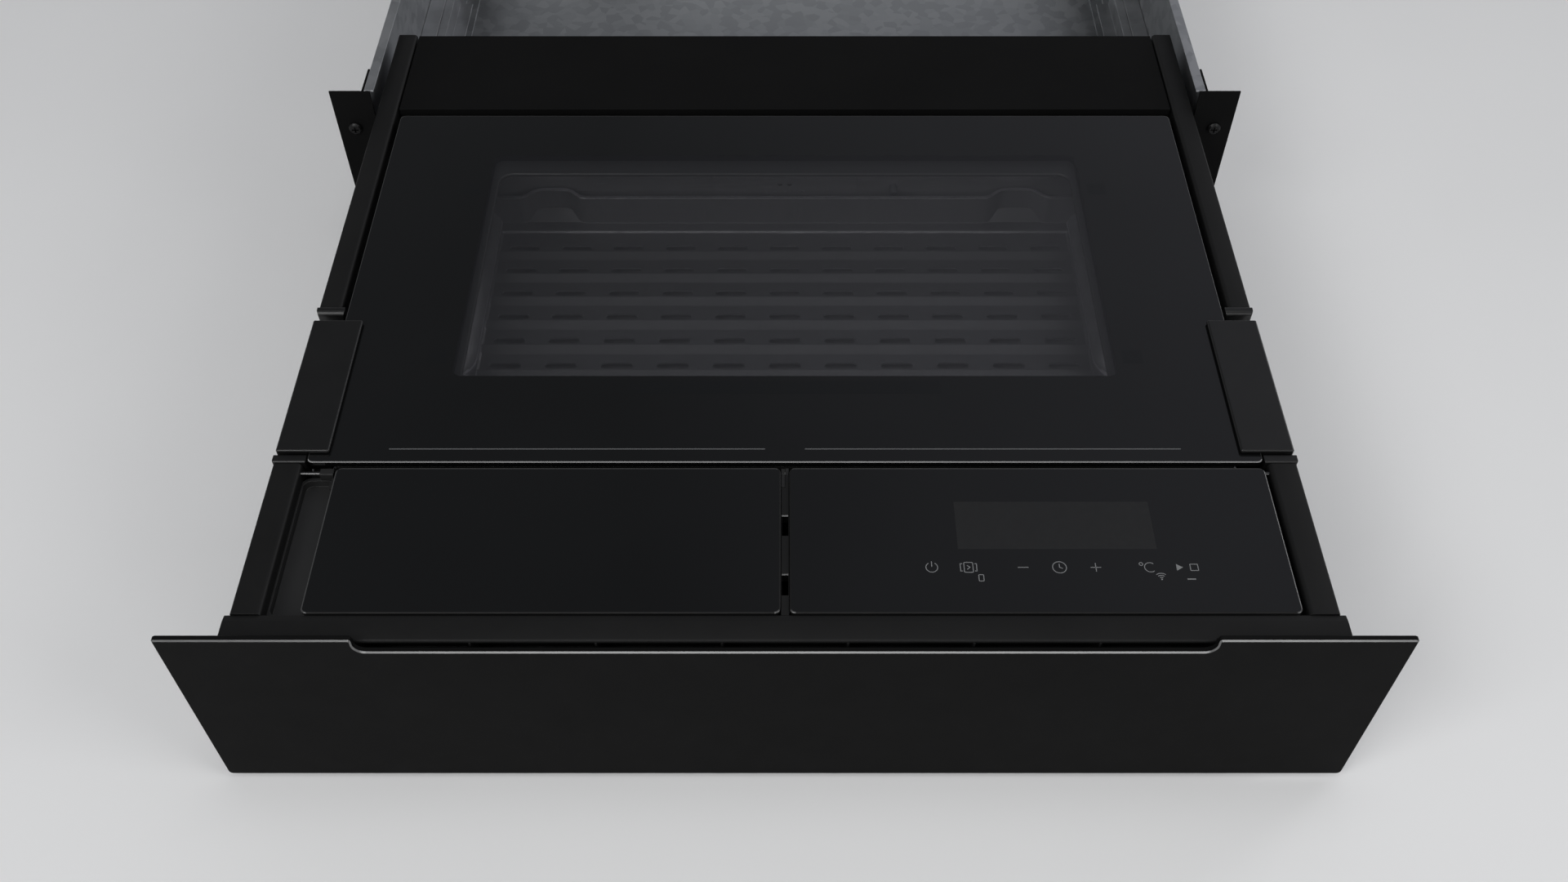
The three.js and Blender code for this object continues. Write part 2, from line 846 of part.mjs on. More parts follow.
function buildDrawerBody() {
  add(
    drawer,
    "drawer_pan",
    box(-sideOuter, sideOuter, bodyFront, drawerRear, panZ, panTop),
    galvanised,
  );
  const side = outline([
    [sideOuter, bodyFloor],
    [sideOuter, ledgeZ - sheet],
    [sideOuter + ledgeReach, ledgeZ - sheet],
    [sideOuter + ledgeReach, ledgeZ],
    [sideOuter - sheet, ledgeZ],
    [sideOuter - sheet, bodyFloor + sheet],
    [sideOuter - sideFoot, bodyFloor + sheet],
    [sideOuter - sideFoot, bodyFloor],
  ]);
  const sideRear = drawerRear - sheet - seat;
  addPair(drawer, "drawer_side", alongY(side, bodyFront, sideRear), galvanised);
  const wallTop = deck - coverDrop - sheet - seat;
  add(
    drawer,
    "drawer_rear_wall",
    box(-sideOuter, sideOuter, drawerRear - sheet, drawerRear, bodyFloor, wallTop),
    galvanised,
  );
}

function buildRearCover() {
  const top = deck - coverDrop;
  const section = outline([
    [coverFront, top],
    [drawerRear, top],
    [drawerRear, top - sheet],
    [coverFront + sheet, top - sheet],
    [coverFront + sheet, top - coverLip],
    [coverFront, top - coverLip],
  ]);
  const half = railInner + railInsetInner - coverSideGap;
  add(drawer, "rear_cover", alongX(section, -half, half), blackPaint);
}

// A block round the flap's axis, from z0 up.
function flapLug(x0, x1, z0) {
  const half = flapLugDepth / 2;
  return box(x0, x1, flapAxisY - half, flapAxisY + half, z0, flapAxisZ + flapLugRise);
}

// The cutter for a bore on the flap's axis.
function flapBore(x0, x1) {
  return rodX(x0 - overshoot, x1 + overshoot, flapAxisY, flapAxisZ, flapPinRadius + turn);
}

// Cross bar in front of the cavity, with the divider between the two front compartments.
function buildDividerFrame() {
  const top = deck - dividerDrop;
  const half = sideOuter - sheet - seat;
  const foot = bodyFloor + sheet + seat;
  const shoulder = deck - gripBelow - seat;
  const crossbar = box(-half, half, crossbarFront, crossbarRear, foot, shoulder);
  const upper = box(
    -lidFrameHalf + seat,
    lidFrameHalf - seat,
    crossbarFront,
    crossbarRear,
    shoulder - mouldWall,
    underGlass,
  );
  const rib = box(
    -dividerHalf,
    dividerHalf,
    bodyFront + mouldWall,
    crossbarFront + mouldWall,
    top - dividerHeight,
    top,
  );
  const slots = [0, 1].map((i) => {
    const y = bodyFront + dividerSlotStart + i * dividerSlotPitch;
    return box(
      -dividerSlotWidth / 2,
      dividerSlotWidth / 2,
      y - dividerSlotLength / 2,
      y + dividerSlotLength / 2,
      top - dividerSlotDepth,
      top + dividerSlotDepth,
    );
  });
  // The lug that carries the flap's pin between the two plates.
  const lug = flapLug(centreLugHalf - flapCentreLug, centreLugHalf, top - mouldWall);
  const frame = join(crossbar, upper, rib, lug);
  add(drawer, "divider_frame", cut(frame, ...slots, flapBore(0, centreLugHalf)), darkPlastic);
}

// ---------------------------------------------------------------- front compartments

function buildControls() {
  const left = plateGap / 2;
  const glass = roundedRect(left, controlRight, plateFront, plateRear, glassCorner);
  add(drawer, "control_glass", slab(glass, glassUnder, deck), blackGlass);

  const rear = plateRear - controlRearInset;
  const floor = underGlass - controlDepth;
  const shell = box(dividerHalf + seat, controlRight, bodyFront + mouldWall, rear, floor, underGlass);
  const hollow = box(
    dividerHalf + seat + mouldWall,
    controlRight - mouldWall,
    bodyFront + 2 * mouldWall,
    rear - mouldWall,
    floor + mouldWall,
    deck,
  );
  const boardTop = underGlass - boardDrop;
  const boardBottom = boardTop - boardThickness;
  const boardFront = (bodyFront + mouldWall + rear - boardDepth) / 2;
  const post = (x) =>
    box(
      x - mouldWall,
      x + mouldWall,
      boardFront + mouldWall,
      boardFront + boardDepth - mouldWall,
      floor + mouldWall / 2,
      boardBottom - seat,
    );
  const postX = boardWidth / 2 - 2 * mouldWall;
  const tray = join(cut(shell, hollow), post(boardX - postX), post(boardX + postX));
  add(drawer, "control_housing", tray, darkPlastic);

  add(
    drawer,
    "control_board",
    box(
      boardX - boardWidth / 2,
      boardX + boardWidth / 2,
      boardFront,
      boardFront + boardDepth,
      boardBottom,
      boardTop,
    ),
    circuitGreen,
  );
  add(
    drawer,
    "display_module",
    box(
      displayX - displayWidth / 2,
      displayX + displayWidth / 2,
      displayY - displayLength / 2,
      displayY + displayLength / 2,
      boardTop + seat,
      underGlass,
    ),
    blackGlass,
  );
}

function buildStorageTub() {
  const top = underGlass - flapFrameHeight - seat;
  const right = -dividerHalf - seat;
  const front = bodyFront + mouldWall;
  const rear = flapAxisY - flapArmReach;
  const recessTop = deck - tubRecessDrop;
  const recessFloor = recessTop - tubRecessDepth;
  const recessLeft = -railInner + seat;
  const recessRight = flapLeft + flapFrameInset - seat;
  const recessRear = plateRear - tubRecessRearGap;
  const wellLeft = recessLeft + tubRecessWidth;
  const deepFloor = top - tubDepth;
  const hollow = (x0, x1, y1, floor) =>
    slab(
      roundedRect(x0 + mouldWall, x1, front + mouldWall, y1 - mouldWall, tubCorner - mouldWall),
      floor,
      deck,
    );
  const recess = roundedRect(recessLeft, wellLeft + tubCorner, front, recessRear, tubCorner);
  const well = roundedRect(wellLeft, right, front, rear, tubCorner);
  const clearOfFrame = box(recessRight, right, front - overshoot, recessRear + overshoot, top, deck);
  const outer = join(
    slab(recess, recessFloor - mouldWall, recessTop),
    slab(well, deepFloor, top),
  );
  const tub = cut(
    outer,
    hollow(recessLeft, wellLeft + tubCorner - mouldWall, recessRear, recessFloor),
    hollow(wellLeft, right - mouldWall, rear, deepFloor + mouldWall),
    clearOfFrame,
  );
  add(drawer, "storage_tub", tub, darkPlastic);
}

// The flap over the storage tub, turning on two pins at its rear edge.
function buildFlap() {
  const right = -plateGap / 2;
  const glass = roundedRect(flapLeft, right, plateFront, plateRear, glassCorner);
  add(drawer, "flap_glass", slab(glass, glassUnder, deck), blackGlass);

  const under = underGlass - flapFrameHeight;
  const [x0, x1] = [flapLeft + flapFrameInset, right - flapFrameInset];
  const [y0, y1] = [plateFront + flapFrameInset, flapAxisY - flapArmReach + mouldWall];
  const plate = roundedRect(x0, x1, y0, y1, glassCorner);
  plate.holes.push(
    roundedRect(
      x0 + flapFrameBorder,
      x1 - flapFrameBorder,
      y0 + flapFrameBorder,
      y1 - flapFrameBorder,
      glassCorner,
      THREE.Path,
    ),
  );
  const armUnder = flapAxisZ - flapLugFoot;
  const left = [flapLugLeft, flapLugLeft + flapLugWidth];
  const centre = [-centreLugHalf, -centreLugHalf + flapCentreLug];
  const armFront = y1 - mouldWall;
  const armLeft = box(left[1] - mouldWall, x0 + flapFrameBorder, armFront, flapAxisY, armUnder, underGlass);
  const armCentre = box(x1 - flapFrameBorder, centre[1], armFront, flapAxisY, armUnder, underGlass);
  const lugs = [left, centre].map(([a, b]) => flapLug(a, b, armUnder));
  const bores = [left, centre].map(([a, b]) => flapBore(a, b));
  const frame = join(slab(plate, under, underGlass), armLeft, armCentre, ...lugs);
  add(drawer, "flap_frame", cut(frame, ...bores), darkPlastic);

  const pins = {
    flap_pin_left: [-railInner - 2 * sheet, left[1]],
    flap_pin_centre: [-centreLugHalf, centreLugHalf],
  };
  for (const [name, [a, b]] of Object.entries(pins)) {
    add(drawer, name, rodX(a, b, flapAxisY, flapAxisZ, flapPinRadius), steel);
  }
}

// ---------------------------------------------------------------- lid

function lidCavityRect(margin, corner, ShapeType) {
  return roundedRect(
    -cavityHalf - margin,
    cavityHalf + margin,
    cavityFront - margin,
    cavityRear + margin,
    corner,
    ShapeType,
  );
}

function buildLid() {
  const glass = roundedRect(-lidHalfWidth, lidHalfWidth, lidFront, lidRear, glassCorner);
  add(drawer, "lid_glass", slab(glass, glassUnder, deck), clearGlass);

  const frame = roundedRect(-lidFrameHalf, lidFrameHalf, lidFrameFront, lidFrameRear, glassCorner);
  frame.holes.push(
    roundedRect(
      -windowHalf - windowMargin,
      windowHalf + windowMargin,
      windowFront - windowMargin,
      windowRear + windowMargin,
      windowCorner,
      THREE.Path,
    ),
  );
  const axisZ = deck - lidAxisDrop;
  const eyeRange = [lidEyeInner, lidEyeInner + lidEyeWidth];
  const lugs = [];
  const bores = [];
  for (const sign of Object.values(SIDES)) {
    const [a, b] = eyeRange.map((x) => sign * x).sort((p, q) => p - q);
    lugs.push(box(a, b, lidFrameRear - 2 * lidEyeRadius, lidAxisY, axisZ - lidEyeRadius, underGlass));
    lugs.push(rodX(a, b, lidAxisY, axisZ, lidEyeRadius));
    bores.push(rodX(a - overshoot, b + overshoot, lidAxisY, axisZ, lidPinRadius + turn));
  }
  const frameBody = cut(join(slab(frame, lidFrameUnder, underGlass), ...lugs), ...bores);
  add(drawer, "lid_frame", frameBody, darkPlastic);

  const paneTop = lidFrameUnder - seat;
  const pane = lidCavityRect(-paneInset, cavityCorner);
  add(drawer, "lid_inner_pane", slab(pane, paneTop - glassThickness, paneTop), clearGlass);

  const seal = lidCavityRect(sealMargin + sealWidth, cavityCorner + sealWidth);
  seal.holes.push(lidCavityRect(sealMargin, cavityCorner, THREE.Path));
  add(drawer, "lid_seal", slab(seal, rimTop + seat, paneTop), silicone);

  buildLidGrips();
  buildLidBrackets(axisZ);
}

// A grip clasps the edge of the lid's glass and is fastened to the frame's side.
function buildLidGrips() {
  const top = deck + gripProud;
  const under = deck - gripBelow;
  const section = outline([
    [gripInner, deck + seat],
    [gripInner, top - gripChamfer],
    [gripInner + gripChamfer, top],
    [gripOuter - gripChamfer, top],
    [gripOuter, top - gripChamfer],
    [gripOuter, under],
    [lidFrameHalf + seat, under],
    [lidFrameHalf + seat, underGlass],
    [lidHalfWidth + 2 * seat, underGlass],
    [lidHalfWidth + 2 * seat, deck + seat],
  ]);
  addPair(drawer, "lid_grip", alongY(section, gripFront, gripFront + gripLength), darkPlastic);
}

// Each hinge bracket stands on the cavity's rim and holds the pin that the lid turns on.
function buildLidBrackets(axisZ) {
  const inner = lidEyeInner + lidEyeWidth + bracketGap;
  const plate = box(
    inner,
    inner + bracketThickness,
    rimRear - bracketLength,
    rimRear,
    rimTop + seat,
    axisZ,
  );
  const boss = rodX(inner, inner + bracketThickness, lidAxisY, axisZ, lidEyeRadius);
  const pin = rodX(lidEyeInner, inner + bracketThickness / 2, lidAxisY, axisZ, lidPinRadius);
  addPair(drawer, "lid_hinge_bracket", join(plate, boss, pin), steel);
}

// ---------------------------------------------------------------- heated cavity

function buildCavity() {
  const rim = roundedRect(-rimHalf, rimHalf, rimFront, rimRear, glassCorner);
  const rimPlate = slab(rim, ledgeZ + seat, rimTop);
  const outer = slab(lidCavityRect(sheet, cavityCorner + sheet), cavityUnder, rimTop);
  const inner = slab(lidCavityRect(0, cavityCorner), cavityUnder + sheet, deck);
  const grille = [];
  for (let i = 0; i < grilleSlots; i++) {
    const z = fanZ + (i - (grilleSlots - 1) / 2) * grillePitch;
    grille.push(
      box(
        -grilleSlotWidth / 2,
        grilleSlotWidth / 2,
        cavityRear - sheet,
        cavityRear + 2 * sheet,
        z - grilleSlotHeight / 2,
        z + grilleSlotHeight / 2,
      ),
    );
  }
  const probeHole = rodY(probeX, cavityRear - sheet, cavityRear + 2 * sheet, probeZ, probeRadius + turn);
  const tub = cut(join(rimPlate, outer), inner, ...grille, probeHole);
  add(drawer, "cavity_tub", tub, stainless);
  add(
    drawer,
    "temperature_probe",
    rodY(probeX, cavityRear - probeInside, cavityRear + probeOutside, probeZ, probeRadius),
    stainless,
  );

  const heaterTop = cavityUnder - seat;
  const heater = box(
    -cavityHalf + heaterMargin,
    cavityHalf - heaterMargin,
    cavityFront + heaterMargin,
    cavityRear - heaterMargin,
    heaterTop - heaterThickness,
    heaterTop,
  );
  add(drawer, "floor_heater", heater, silicone);

  const padTop = heaterTop - heaterThickness - seat;
  const pad = slab(lidCavityRect(0, cavityCorner), bodyFloor, padTop);
  add(drawer, "insulation_pad", pad, wool);
}

// Plan outline of the tray, grown by margin, with the two notches in its rear wall.
function trayOutline(margin, notchMargin) {
  const x0 = trayHalf + margin;
  const y0 = trayFront - margin;
  const y1 = trayRear + margin;
  const r = trayCorner;
  const shape = new THREE.Shape();
  shape.moveTo(-x0 + r, y0);
  shape.lineTo(x0 - r, y0);
  shape.absarc(x0 - r, y0 + r, r, -Math.PI / 2, 0);
  shape.absarc(x0 - r, y1 - r, r, 0, Math.PI / 2);
  for (const x of [notchX, -notchX]) {
    shape.lineTo(x + notchWide / 2 + notchMargin, y1);
    shape.lineTo(x + notchNarrow / 2 + notchMargin, y1 + notchDepth);
    shape.lineTo(x - notchNarrow / 2 - notchMargin, y1 + notchDepth);
    shape.lineTo(x - notchWide / 2 - notchMargin, y1);
  }
  shape.absarc(-x0 + r, y1 - r, r, Math.PI / 2, Math.PI);
  shape.absarc(-x0 + r, y0 + r, r, Math.PI, 1.5 * Math.PI);
  return shape;
}

// Ribs across the tray's floor, one in front of each row of slots.
function trayRib(rowY) {
  const y = rowY + ribOffset;
  const top = trayFloor + sheet + ribRise;
  const shape = outline([
    [y - ribFoot / 2, trayFloor + sheet / 2],
    [y + ribFoot / 2, trayFloor + sheet / 2],
    [y + ribTop / 2, top],
    [y - ribTop / 2, top],
  ]);
  return alongX(shape, -ridgeInner, ridgeInner);
}

// Cutters for one row of slots, each an oblong with chamfered ends.
function slotRow(rowY) {
  const half = slotWidth / 2;
  const chamfer = slotWidth / 3;
  return Array.from({ length: slotColumns }, (_, i) => {
    const x = (i - (slotColumns - 1) / 2) * slotColumnPitch;
    const end = slotLength / 2;
    const hole = outline([
      [x - end + chamfer, rowY - half],
      [x + end - chamfer, rowY - half],
      [x + end, rowY - half + chamfer],
      [x + end, rowY + half - chamfer],
      [x + end - chamfer, rowY + half],
      [x - end + chamfer, rowY + half],
      [x - end, rowY + half - chamfer],
      [x - end, rowY - half + chamfer],
    ]);
    return slab(hole, trayFloor - sheet, trayFloor + 2 * sheet);
  });
}

function buildTray() {
  const firstRow = trayFront + slotFrontMargin;
  const rows = Array.from({ length: slotRows }, (_, i) => firstRow + i * slotRowPitch);
  const rimTopZ = trayFloor + trayHeight;
  const pan = slab(trayOutline(sheet, sheet / 2), trayFloor, rimTopZ);
  const hollow = slab(trayOutline(0, 0), trayFloor + sheet, deck);
  const rim = slab(trayOutline(trayRimWidth, sheet), rimTopZ - sheet, rimTopZ);
  const ridges = Object.values(SIDES).map((sign) => {
    const [x0, x1] = [sign * ridgeInner, sign * (trayHalf + sheet / 2)].sort((a, b) => a - b);
    const bar = roundedRect(x0, x1, ridgeRear - ridgeLength, ridgeRear, ridgeEnd);
    return slab(bar, trayFloor + sheet / 2, trayFloor + sheet + ridgeHeight);
  });
  const footHeight = trayFloor - cavityUnder - sheet - seat;
  const feet = [];
  for (const x of [-trayHalf + trayFootInset, trayHalf - trayFootInset]) {
    for (const y of [trayFront + trayFootFront, trayRear - trayFootRear]) {
      feet.push(
        new THREE.CylinderGeometry(
          trayFootRadius,
          trayFootRadius,
          footHeight + sheet / 2,
          trayFootSides,
        )
          .rotateX(Math.PI / 2)
          .translate(x, y, trayFloor - footHeight / 2 + sheet / 4),
      );
    }
  }
  const shell = cut(join(pan, rim), hollow);
  const pressed = join(shell, ...rows.map(trayRib), ...ridges, ...feet);
  add(drawer, "perforated_tray", cut(pressed, ...rows.flatMap(slotRow)), stainless);
}

// ---------------------------------------------------------------- fan

function buildFan() {
  const boxFront = cavityRear + sheet + seat;
  const boxRear = boxFront + fanBoxDepth;
  const z0 = fanZ - fanBoxHeight / 2;
  const shell = box(-fanBoxHalf, fanBoxHalf, boxFront, boxRear, z0, z0 + fanBoxHeight);
  const hollow = box(
    -fanBoxHalf + sheet,
    fanBoxHalf - sheet,
    boxFront - sheet,
    boxRear - sheet,
    z0 + sheet,
    z0 + fanBoxHeight - sheet,
  );
  const shaftHole = rodY(0, boxRear - 2 * sheet, boxRear + sheet, fanZ, fanShaftRadius + 4 * turn);
  const rodHoles = [-1, 1].map((sign) =>
    rodY(sign * heaterRingRadius, boxRear - 2 * sheet, boxRear + sheet, fanZ, heaterRodRadius + turn),
  );
  add(drawer, "fan_housing", cut(shell, hollow, shaftHole, ...rodHoles), galvanised);

  const wheelFront = boxFront + fanFrontGap;
  const wheelRear = wheelFront + fanDepth;
  const parts = [
    rodY(0, wheelRear - sheet, wheelRear, fanZ, fanRadius),
    rodY(0, wheelFront, wheelRear, fanZ, fanHubRadius),
    rodY(0, wheelRear - sheet, boxRear + motorBoreDepth - seat, fanZ, fanShaftRadius),
  ];
  for (let i = 0; i < fanBlades; i++) {
    const blade = box(
      fanHubRadius / 2,
      fanRadius - fanBladeTip,
      wheelFront,
      wheelRear - sheet / 2,
      -sheet / 2,
      sheet / 2,
    );
    parts.push(blade.rotateY((i * 2 * Math.PI) / fanBlades).translate(0, 0, fanZ));
  }
  add(drawer, "fan_wheel", join(...parts), steel);

  const ringY = (wheelFront + wheelRear) / 2;
  const ring = new THREE.TorusGeometry(
    heaterRingRadius,
    heaterRodRadius,
    ROUND_SIDES / 2,
    heaterRingSteps,
  )
    .rotateX(Math.PI / 2)
    .translate(0, ringY, fanZ);
  const legs = [-1, 1].map((sign) =>
    rodY(sign * heaterRingRadius, ringY, boxRear + 2 * sheet, fanZ, heaterRodRadius),
  );
  add(drawer, "ring_heater", join(ring, ...legs), steel);

  const motorFront = boxRear + seat;
  const motor = rodY(0, motorFront, motorFront + motorLength, fanZ, motorRadius);
  const boreEnd = motorFront + motorBoreDepth;
  const bore = rodY(0, motorFront - overshoot, boreEnd, fanZ, fanShaftRadius + turn);
  add(drawer, "fan_motor", cut(motor, bore), greyPlastic);
}

// ---------------------------------------------------------------- assembly

buildHousing();
buildFlanges();
buildMountingScrews();
buildMains();
buildRunners();
buildFrontPanel();
buildFrontBar();
buildSideRails();
buildDrawerBody();
buildRearCover();
buildDividerFrame();
buildControls();
buildStorageTub();
buildFlap();
buildLid();
buildCavity();
buildTray();
buildFan();

export default heatedDrawer;
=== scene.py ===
"""Looks of the built-in heated drawer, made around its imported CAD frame.

Lengths in this script are millimetres in the frame's own axes: +X to the right, +Y back, +Z up.
MM turns them into Blender's metres. Pieces take their places from the boxes of the CAD nodes.
"""

import json
import math
from collections import namedtuple

import bmesh
import bpy
from mathutils import Matrix, Vector

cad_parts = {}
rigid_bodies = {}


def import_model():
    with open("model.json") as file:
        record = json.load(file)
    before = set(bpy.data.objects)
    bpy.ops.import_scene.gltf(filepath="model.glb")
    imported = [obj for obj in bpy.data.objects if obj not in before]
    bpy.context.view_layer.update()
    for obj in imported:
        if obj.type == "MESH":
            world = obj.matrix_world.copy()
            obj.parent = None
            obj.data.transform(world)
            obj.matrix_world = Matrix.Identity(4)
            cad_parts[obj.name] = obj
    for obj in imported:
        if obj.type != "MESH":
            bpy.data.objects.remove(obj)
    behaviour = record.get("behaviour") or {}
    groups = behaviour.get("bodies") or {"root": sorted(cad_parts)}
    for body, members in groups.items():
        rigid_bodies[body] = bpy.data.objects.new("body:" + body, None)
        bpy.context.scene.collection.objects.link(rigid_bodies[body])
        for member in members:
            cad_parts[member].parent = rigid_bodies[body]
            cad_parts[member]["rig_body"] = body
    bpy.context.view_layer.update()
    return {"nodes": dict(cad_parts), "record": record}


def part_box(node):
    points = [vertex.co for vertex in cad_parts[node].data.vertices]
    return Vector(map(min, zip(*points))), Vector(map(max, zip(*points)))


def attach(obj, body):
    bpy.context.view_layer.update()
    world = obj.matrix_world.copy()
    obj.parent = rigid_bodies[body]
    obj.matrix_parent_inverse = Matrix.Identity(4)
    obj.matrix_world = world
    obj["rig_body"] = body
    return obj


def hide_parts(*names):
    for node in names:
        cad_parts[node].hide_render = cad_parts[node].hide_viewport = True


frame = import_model()

MM = 0.001

# ---- places

Box = namedtuple("Box", "x0 y0 z0 x1 y1 z1")


def span(node):
    """The box of a CAD node in millimetres."""
    low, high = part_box(node)
    return Box(*(v / MM for v in (*low, *high)))


panel = span("front_panel")
bar = span("front_bar")
plate = span("control_glass")
flap = span("flap_glass")
lid = span("lid_glass")
tray = span("perforated_tray")
cavity = span("cavity_tub")
pin = span("flap_pin_left")
rear_wall = span("housing_rear")
side_wall = span("housing_side_right")
hinge_y, hinge_z = (pin.y0 + pin.y1) / 2, (pin.z0 + pin.z1) / 2
arm_rear = hinge_y - 2.5  # where the flap's centre arm meets its lug
deck = plate.z1  # top of the glass plates
head_top = deck - 1.2  # top of the divider's head
CUT_HALF = 204  # half the width of the panel's cut-out
SIDES = {"left": -1, "right": 1}
SLOTS = {part["node"]: part["material_slot"] for part in frame["record"]["subparts"]}

# ---- outlines


def arc(x, y, radius, start, end, steps=8):
    """Points along an arc, from angle start to angle end in degrees."""
    points = []
    for i in range(steps + 1):
        angle = math.radians(start + (end - start) * i / steps)
        points.append((x + radius * math.cos(angle), y + radius * math.sin(angle)))
    return points


def per_corner(radii, corners):
    """One radius for each corner, where a single radius may stand for all."""
    return [radii] * len(corners) if isinstance(radii, (int, float)) else radii


def fillet(corners, radii, steps=6):
    """A closed outline with rounded corners. radii is one radius, or one for each corner."""
    points = []
    for i, radius in enumerate(per_corner(radii, corners)):
        corner = Vector(corners[i])
        if radius <= 0:
            points.append(tuple(corner))
            continue
        before = (Vector(corners[i - 1]) - corner).normalized()
        after = (Vector(corners[(i + 1) % len(corners)]) - corner).normalized()
        half = before.angle(after) / 2
        centre = corner + (before + after).normalized() * (radius / math.sin(half))
        first = corner + before * (radius / math.tan(half)) - centre
        last = corner + after * (radius / math.tan(half)) - centre
        start = math.atan2(first.y, first.x)
        turn = math.remainder(math.atan2(last.y, last.x) - start, math.tau)
        degrees = math.degrees(start)
        points += arc(centre.x, centre.y, radius, degrees, degrees + math.degrees(turn), steps)
    return points


def rect(x0, x1, y0, y1, radius=0, steps=6):
    return fillet([(x0, y0), (x1, y0), (x1, y1), (x0, y1)], radius, steps)


def grow(corners, margin):
    """The corners of an anticlockwise outline, moved outwards by a margin."""
    grown = []
    for i, corner in enumerate(corners):
        here = Vector(corner)
        along = [here - Vector(corners[i - 1]), Vector(corners[(i + 1) % len(corners)]) - here]
        a, b = (Vector((v.y, -v.x)).normalized() for v in along)
        grown.append(here + (a + b) * (margin / (1 + a.dot(b))))
    return grown


def ring(corners, radii, margin=0.0, steps=6):
    """A rounded outline moved outwards by a margin, its bends kept concentric."""
    bends = []
    for i, radius in enumerate(per_corner(radii, corners)):
        before = Vector(corners[i]) - Vector(corners[i - 1])
        after = Vector(corners[(i + 1) % len(corners)]) - Vector(corners[i])
        side = 1 if before.cross(after) > 0 else -1
        bends.append(max(0.05, radius + side * margin))
    return fillet(grow(corners, margin), bends, steps)


def stroke(points, width, closed=False):
    """Quads that draw a line of some width through the points."""
    count = len(points)
    left, right = [], []
    for i, point in enumerate(points):
        ahead = points[(i + 1) % count] if closed or i + 1 < count else None
        behind = points[i - 1] if closed or i > 0 else None
        here = Vector(point)
        steps = [(Vector(q) - here) * sign for q, sign in ((ahead, 1), (behind, -1)) if q]
        along = sum((s.normalized() for s in steps), Vector((0, 0))).normalized()
        across = Vector((-along.y, along.x)) * (width / 2)
        if len(steps) == 2:
            across /= max(0.3, abs(along.dot(steps[0].normalized())))
        left.append(tuple(here + across))
        right.append(tuple(here - across))
    last = count if closed else count - 1
    return [
        (left[i], right[i], right[(i + 1) % count], left[(i + 1) % count]) for i in range(last)
    ]


# ---- meshes

ALONG = {
    "x": lambda u, v, w: (w, u, v),
    "y": lambda u, v, w: (u, w, v),
    "z": lambda u, v, w: (u, v, w),
}


def loft(rings, caps=True, bm=None):
    """Skins neighbouring rings of points, and closes the two ends."""
    bm = bm or bmesh.new()
    loops = [[bm.verts.new(point) for point in points] for points in rings]
    for a, b in zip(loops, loops[1:]):
        for i in range(len(a)):
            j = (i + 1) % len(a)
            bm.faces.new((a[i], a[j], b[j], b[i]))
    if caps:
        bm.faces.new(loops[0])
        bm.faces.new(loops[-1])
    return bm


def ribbon(left, right):
    """An open strip of quads between two runs of points."""
    bm = bmesh.new()
    a, b = ([bm.verts.new(point) for point in run] for run in (left, right))
    for i in range(len(a) - 1):
        bm.faces.new((a[i], b[i], b[i + 1], a[i + 1]))
    return bm


def flat(points, bm):
    """One flat face."""
    return bm.faces.new([bm.verts.new(point) for point in points])


def prism(outline, axis, start, end, bm=None):
    """An outline drawn out along an axis."""
    place = ALONG[axis]
    return loft([[place(u, v, w) for u, v in outline] for w in (start, end)], bm=bm)


def lathe(profile, axis, centre, steps=24, bm=None):
    """A profile of (radius, distance along the axis) points, turned about that axis."""
    place = ALONG[axis]
    rings = []
    for radius, w in profile:
        turn = arc(centre[0], centre[1], radius, 0, 360 - 360 / steps, steps - 1)
        rings.append([place(u, v, w) for u, v in turn])
    return loft(rings, bm=bm)


def sheet(outline, holes, axis, w):
    """A flat face inside an outline, open at the holes."""
    bm = bmesh.new()
    place = ALONG[axis]
    for points in (outline, *holes):
        loop = [bm.verts.new(place(u, v, w)) for u, v in points]
        for i, vert in enumerate(loop):
            bm.edges.new((loop[i - 1], vert))
    bmesh.ops.triangle_fill(bm, use_beauty=True, edges=bm.edges[:])
    return bm


def extruded(bm, shift):
    """Gives open faces their thickness along one direction."""
    grown = bmesh.ops.extrude_face_region(bm, geom=bm.faces[:])["geom"]
    moved = [item for item in grown if isinstance(item, bmesh.types.BMVert)]
    bmesh.ops.translate(bm, vec=shift, verts=moved)
    return bm


def perforated(outline, holes, axis, start, end):
    """A plate with holes right through it."""
    return extruded(sheet(outline, holes, axis, start), ALONG[axis](0, 0, end - start))


def levels(corners, radii, profile, axis="z", steps=6):
    """Rings of one outline at the (margin, height) pairs of a profile."""
    place = ALONG[axis]
    return [
        [place(u, v, w) for u, v in ring(corners, radii, margin, steps)] for margin, w in profile
    ]


def thicken(bm, thickness):
    """Gives an open sheet its thickness, on the side away from its visible face."""
    bmesh.ops.remove_doubles(bm, verts=bm.verts, dist=0.002)
    bmesh.ops.recalc_face_normals(bm, faces=bm.faces)
    widest = max(bm.faces, key=lambda face: face.calc_area() * abs(face.normal.z))
    if widest.normal.z < 0:
        bmesh.ops.reverse_faces(bm, faces=bm.faces)
    bmesh.ops.solidify(bm, geom=bm.faces[:], thickness=thickness)
    return bm


def merge(*parts):
    """Several bmeshes in one."""
    whole = bmesh.new()
    for part in parts:
        mesh = bpy.data.meshes.new("part")
        part.to_mesh(mesh)
        part.free()
        whole.from_mesh(mesh)
        bpy.data.meshes.remove(mesh)
    return whole


def mirrored(bm):
    """The same mesh on the other side of the middle."""
    bmesh.ops.scale(bm, vec=(-1, 1, 1), verts=bm.verts)
    bmesh.ops.reverse_faces(bm, faces=bm.faces)
    return bm


def paint(bm, choose):
    """Gives each face the material index that choose finds for the face and its middle."""
    for face in bm.faces:
        face.material_index = choose(face, face.calc_center_median())
    return bm


# ---- materials

FINISHES = {}


